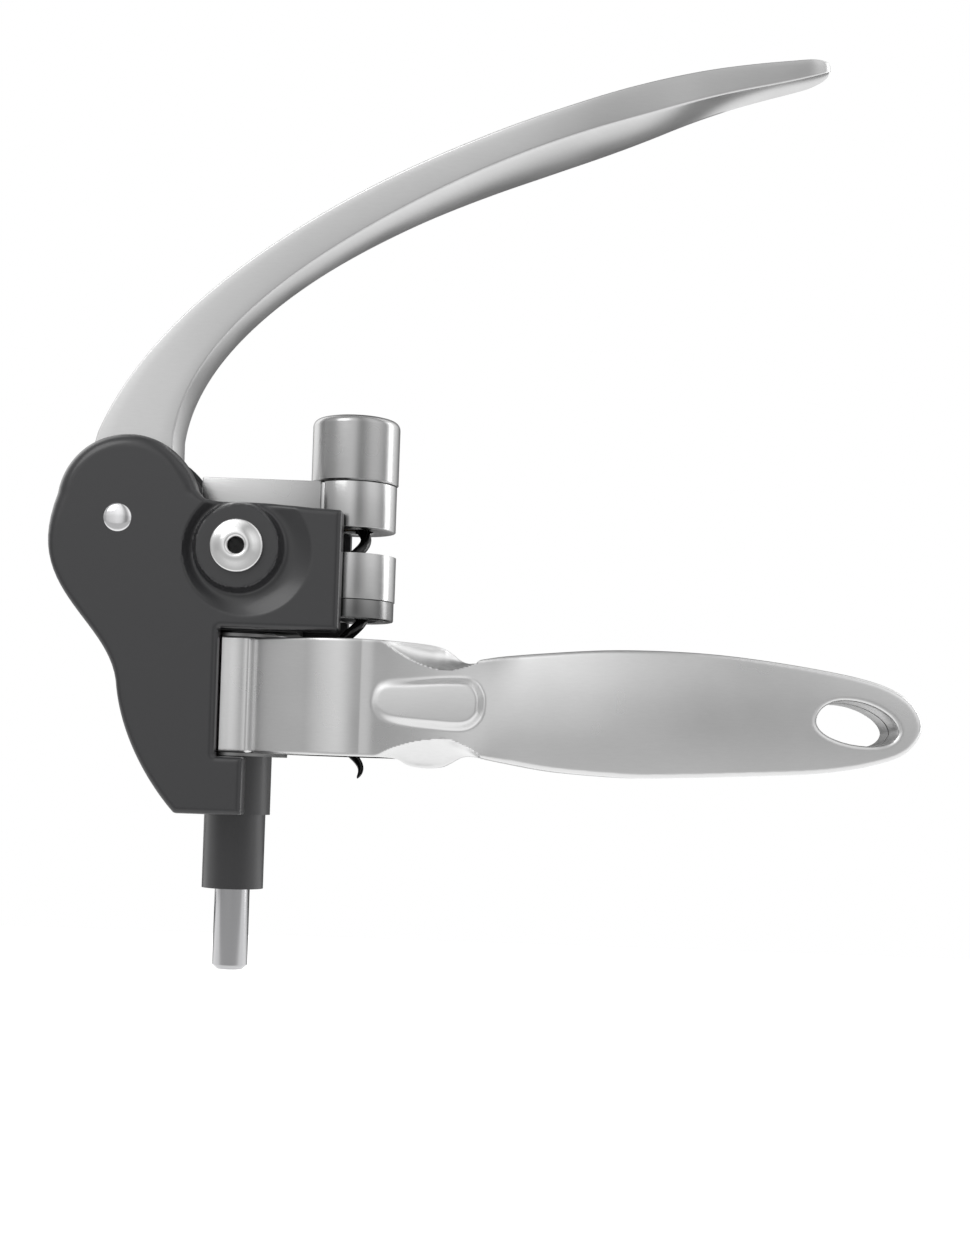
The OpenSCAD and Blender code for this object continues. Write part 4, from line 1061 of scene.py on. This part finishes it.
def make_lever():
    lever = lever_skin()
    px, pz = PIVOT
    root = arc(px, pz, ROOT_R, ROOT_START, ROOT_END, 68)
    root += [(px + x, pz + FOOT - ROOT_OVERLAP) for x in (ROOT_LOW_X, ROOT_TOP_X)]
    cut(lever, prism(root, -ROOT_Y, ROOT_Y, LEVER_SATIN), "UNION")
    pitch = 360 / TEETH
    slot = arc(px, pz, SLOT_R, FIRST_TOOTH * pitch - SLOT_MARGIN_DEG,
               LAST_TOOTH * pitch + SLOT_MARGIN_DEG, 12)
    cut(lever, prism([PIVOT, *slot], -SLOT_HALF, SLOT_HALF))
    cut(lever, bar_y(*PIVOT, SLOT_HUB_R, -SLOT_HALF, SLOT_HALF))
    cut(lever, bar_y(*PIVOT, HUB_R, -BORE_HALF, BORE_HALF))
    for angle in PIN_ANGLES:
        [pin] = arc(px, pz, PIN_REACH, angle, angle, 1)
        cut(lever, bar_y(*pin, PIN_R, -BORE_HALF, BORE_HALF))
    tidy_edges(lever, LEVER_SHARP_DEG)
    dress(lever, "lever_handle", "lever")


# Carriage, nut, frame and small pieces

ARM_Z = 38.7
CAP_Z, CAP_TOP, CAP_R, CAP_BORE_R = 49.3, 64.6, 10.0, 7.0
CAP_SKIRT_Z, CAP_SKIRT_R = 45.0, 8.0
CAP_ROUND, CAP_DOME = 1.8, 0.5
COLLAR_Z, COLLAR_R, SHANK_R, WORM_END = 39.6, 4.2, 2.8, 48.0
WORM_TIP, WORM_TAPER = -17.9, 9
WORM_R, WIRE_R, WORM_PITCH = 2.95, 1.25, 17.5
WIRE_TIP_R = 0.08
WORM_BELOW_ARM = 2.0
RINGS_PER_TURN, WIRE_SIDES = 48, 20
BOLT_FACE, BOLT_INNER_END, BOLT_BORE_R = COVER_Y + BOSS_OUT, 8.5, 1.6
AXLE_HEAD_R, AXLE_DOME = 3.2, 0.9


def make_cap():
    """Cap with a rounded top edge and a low dome."""
    round_r = CAP_R - CAP_ROUND
    dome = [(round_r * math.cos(a), CAP_TOP - CAP_DOME + CAP_DOME * math.sin(a))
            for a in np.linspace(0.1, math.pi / 2, 9)]
    corner = arc(round_r, CAP_TOP - CAP_DOME - CAP_ROUND, CAP_ROUND, 0, 84, 9)
    profile = [(CAP_BORE_R, CAP_SKIRT_Z), (CAP_SKIRT_R, CAP_SKIRT_Z), (CAP_SKIRT_R, CAP_Z),
               (CAP_R - 0.3, CAP_Z), (CAP_R, CAP_Z + 0.3), *corner, *dome,
               (0.0, CAP_TOP - 3), (CAP_BORE_R, CAP_TOP - 3)]
    cap = lathe("cap_skin", profile, CAP_SATIN, sides=128)
    dress(cap, "worm_cap", "carriage")


def wire_radius(z):
    """The wire's radius at a height, tapering to the tip."""
    z = max(z - WORM_TIP, 0)
    if z > WORM_TAPER:
        return WIRE_R
    return WIRE_TIP_R + (WIRE_R - WIRE_TIP_R) * math.sqrt(z / WORM_TAPER)


def make_worm():
    """The worm's tapered wire, wound right-handed, with its collar and shank."""
    length = COLLAR_Z + 0.5 - WORM_TIP
    count = int(RINGS_PER_TURN * (length / WORM_PITCH))
    slope = math.atan(WORM_PITCH / (2 * math.pi * WORM_R))
    points = []
    for i in range(count + 1):
        z = WORM_TIP + length * (i / count) ** 1.06
        a = 2 * math.pi * (z - ARM_Z + WORM_BELOW_ARM) / WORM_PITCH
        wire = wire_radius(z)
        reach = WORM_R + WIRE_R - wire
        for j in range(WIRE_SIDES):
            q = 2 * math.pi * j / WIRE_SIDES
            out, lift = reach + wire * math.cos(q), wire * math.sin(q)
            along = lift * math.sin(slope)
            points.append((out * math.cos(a) + along * math.sin(a),
                           out * math.sin(a) - along * math.cos(a), z + lift * math.cos(slope)))
    faces = tube_faces(count + 1, WIRE_SIDES)
    faces.append(tuple(range(WIRE_SIDES))[::-1])
    faces.append(tuple(count * WIRE_SIDES + j for j in range(WIRE_SIDES)))
    worm = make_object("worm_skin", points, faces, WORM_BLACK)
    shoulder = COLLAR_Z + 1
    profile = [(0.0, COLLAR_Z), (COLLAR_R - 0.3, COLLAR_Z), (COLLAR_R, COLLAR_Z + 0.3),
               (COLLAR_R, shoulder), (SHANK_R, shoulder), (SHANK_R, WORM_END - 0.3),
               (SHANK_R - 0.3, WORM_END), (0.0, WORM_END)]
    cut(worm, lathe("cutter", profile, WORM_BLACK, sides=64), "UNION")
    tidy_edges(worm)
    dress(worm, "worm", "worm_body")


def make_bolts():
    """Hollow bolts: a low dome with a flat rim, countersunk into the bore."""
    head = [(5.9, 0), (5.9, 0.9), *arc(5.3, 0.9, 0.6, 10, 80, 6), (4.6, 1.78), (3.9, 2.15),
            (3.2, 2.45), (2.6, 2.6), (2.2, 2.5), (1.9, 2.2), (1.7, 1.7), (BOLT_BORE_R, 1.1)]
    profile = [(BOLT_BORE_R, BOLT_INNER_END), (BORE_R, BOLT_INNER_END), (BORE_R, BOLT_FACE),
               *((r, h + BOLT_FACE) for r, h in head)]
    for name, far in (("bolt_near_skin", False), ("bolt_far_skin", True)):
        bolt = lathe(name, profile, BOLT_STEEL, (BOLT[0], 0, BOLT[1]), "Y")
        if far:
            mirror_y(bolt)
        dress(bolt, "hollow_bolts", "frame_body")


def make_axle():
    """The lever's axle, with a low dome at each end."""
    near = [(AXLE_HEAD_R * math.cos(a), COVER_Y + AXLE_DOME * math.sin(a))
            for a in np.linspace(0, math.pi / 2, 10)]
    shank = [(BORE_R, -COVER_Y), (BORE_R, COVER_Y)]
    profile = [(r, -h) for r, h in near[::-1]] + shank + near
    axle = lathe("axle_skin", profile, POLISHED, (PIVOT[0], 0, PIVOT[1]), "Y")
    dress(axle, "lever_axle", "frame_body")


def make_softened():
    """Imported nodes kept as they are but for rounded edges, of the width given last."""
    for node, body, slot, material, width in (
            ("frame", "frame_body", "graphite_paint", GRAPHITE, 0.35),
            ("carriage_arm", "carriage", "silver_casting", ROUND_SATIN, 0.4),
            ("guide_rod", "carriage", "bright_steel", ROD_STEEL, 0.12),
            ("nut_carriage", "nut", "silver_casting", ROUND_SATIN, 0.35),
            ("nut_ring", "nut", "band_grey", BAND, 0.7),
            ("jaw_liner_near", "near_grip", "liner_rubber", RUBBER, 0.3),
            ("jaw_liner_far", "far_grip", "liner_rubber", RUBBER, 0.3)):
        dress(softened(node, node + "_skin", material, width), node, body)


finish_frame_nodes()
make_grips()
make_covers()
make_lever()
make_cap()
make_worm()
make_bolts()
make_axle()
make_softened()
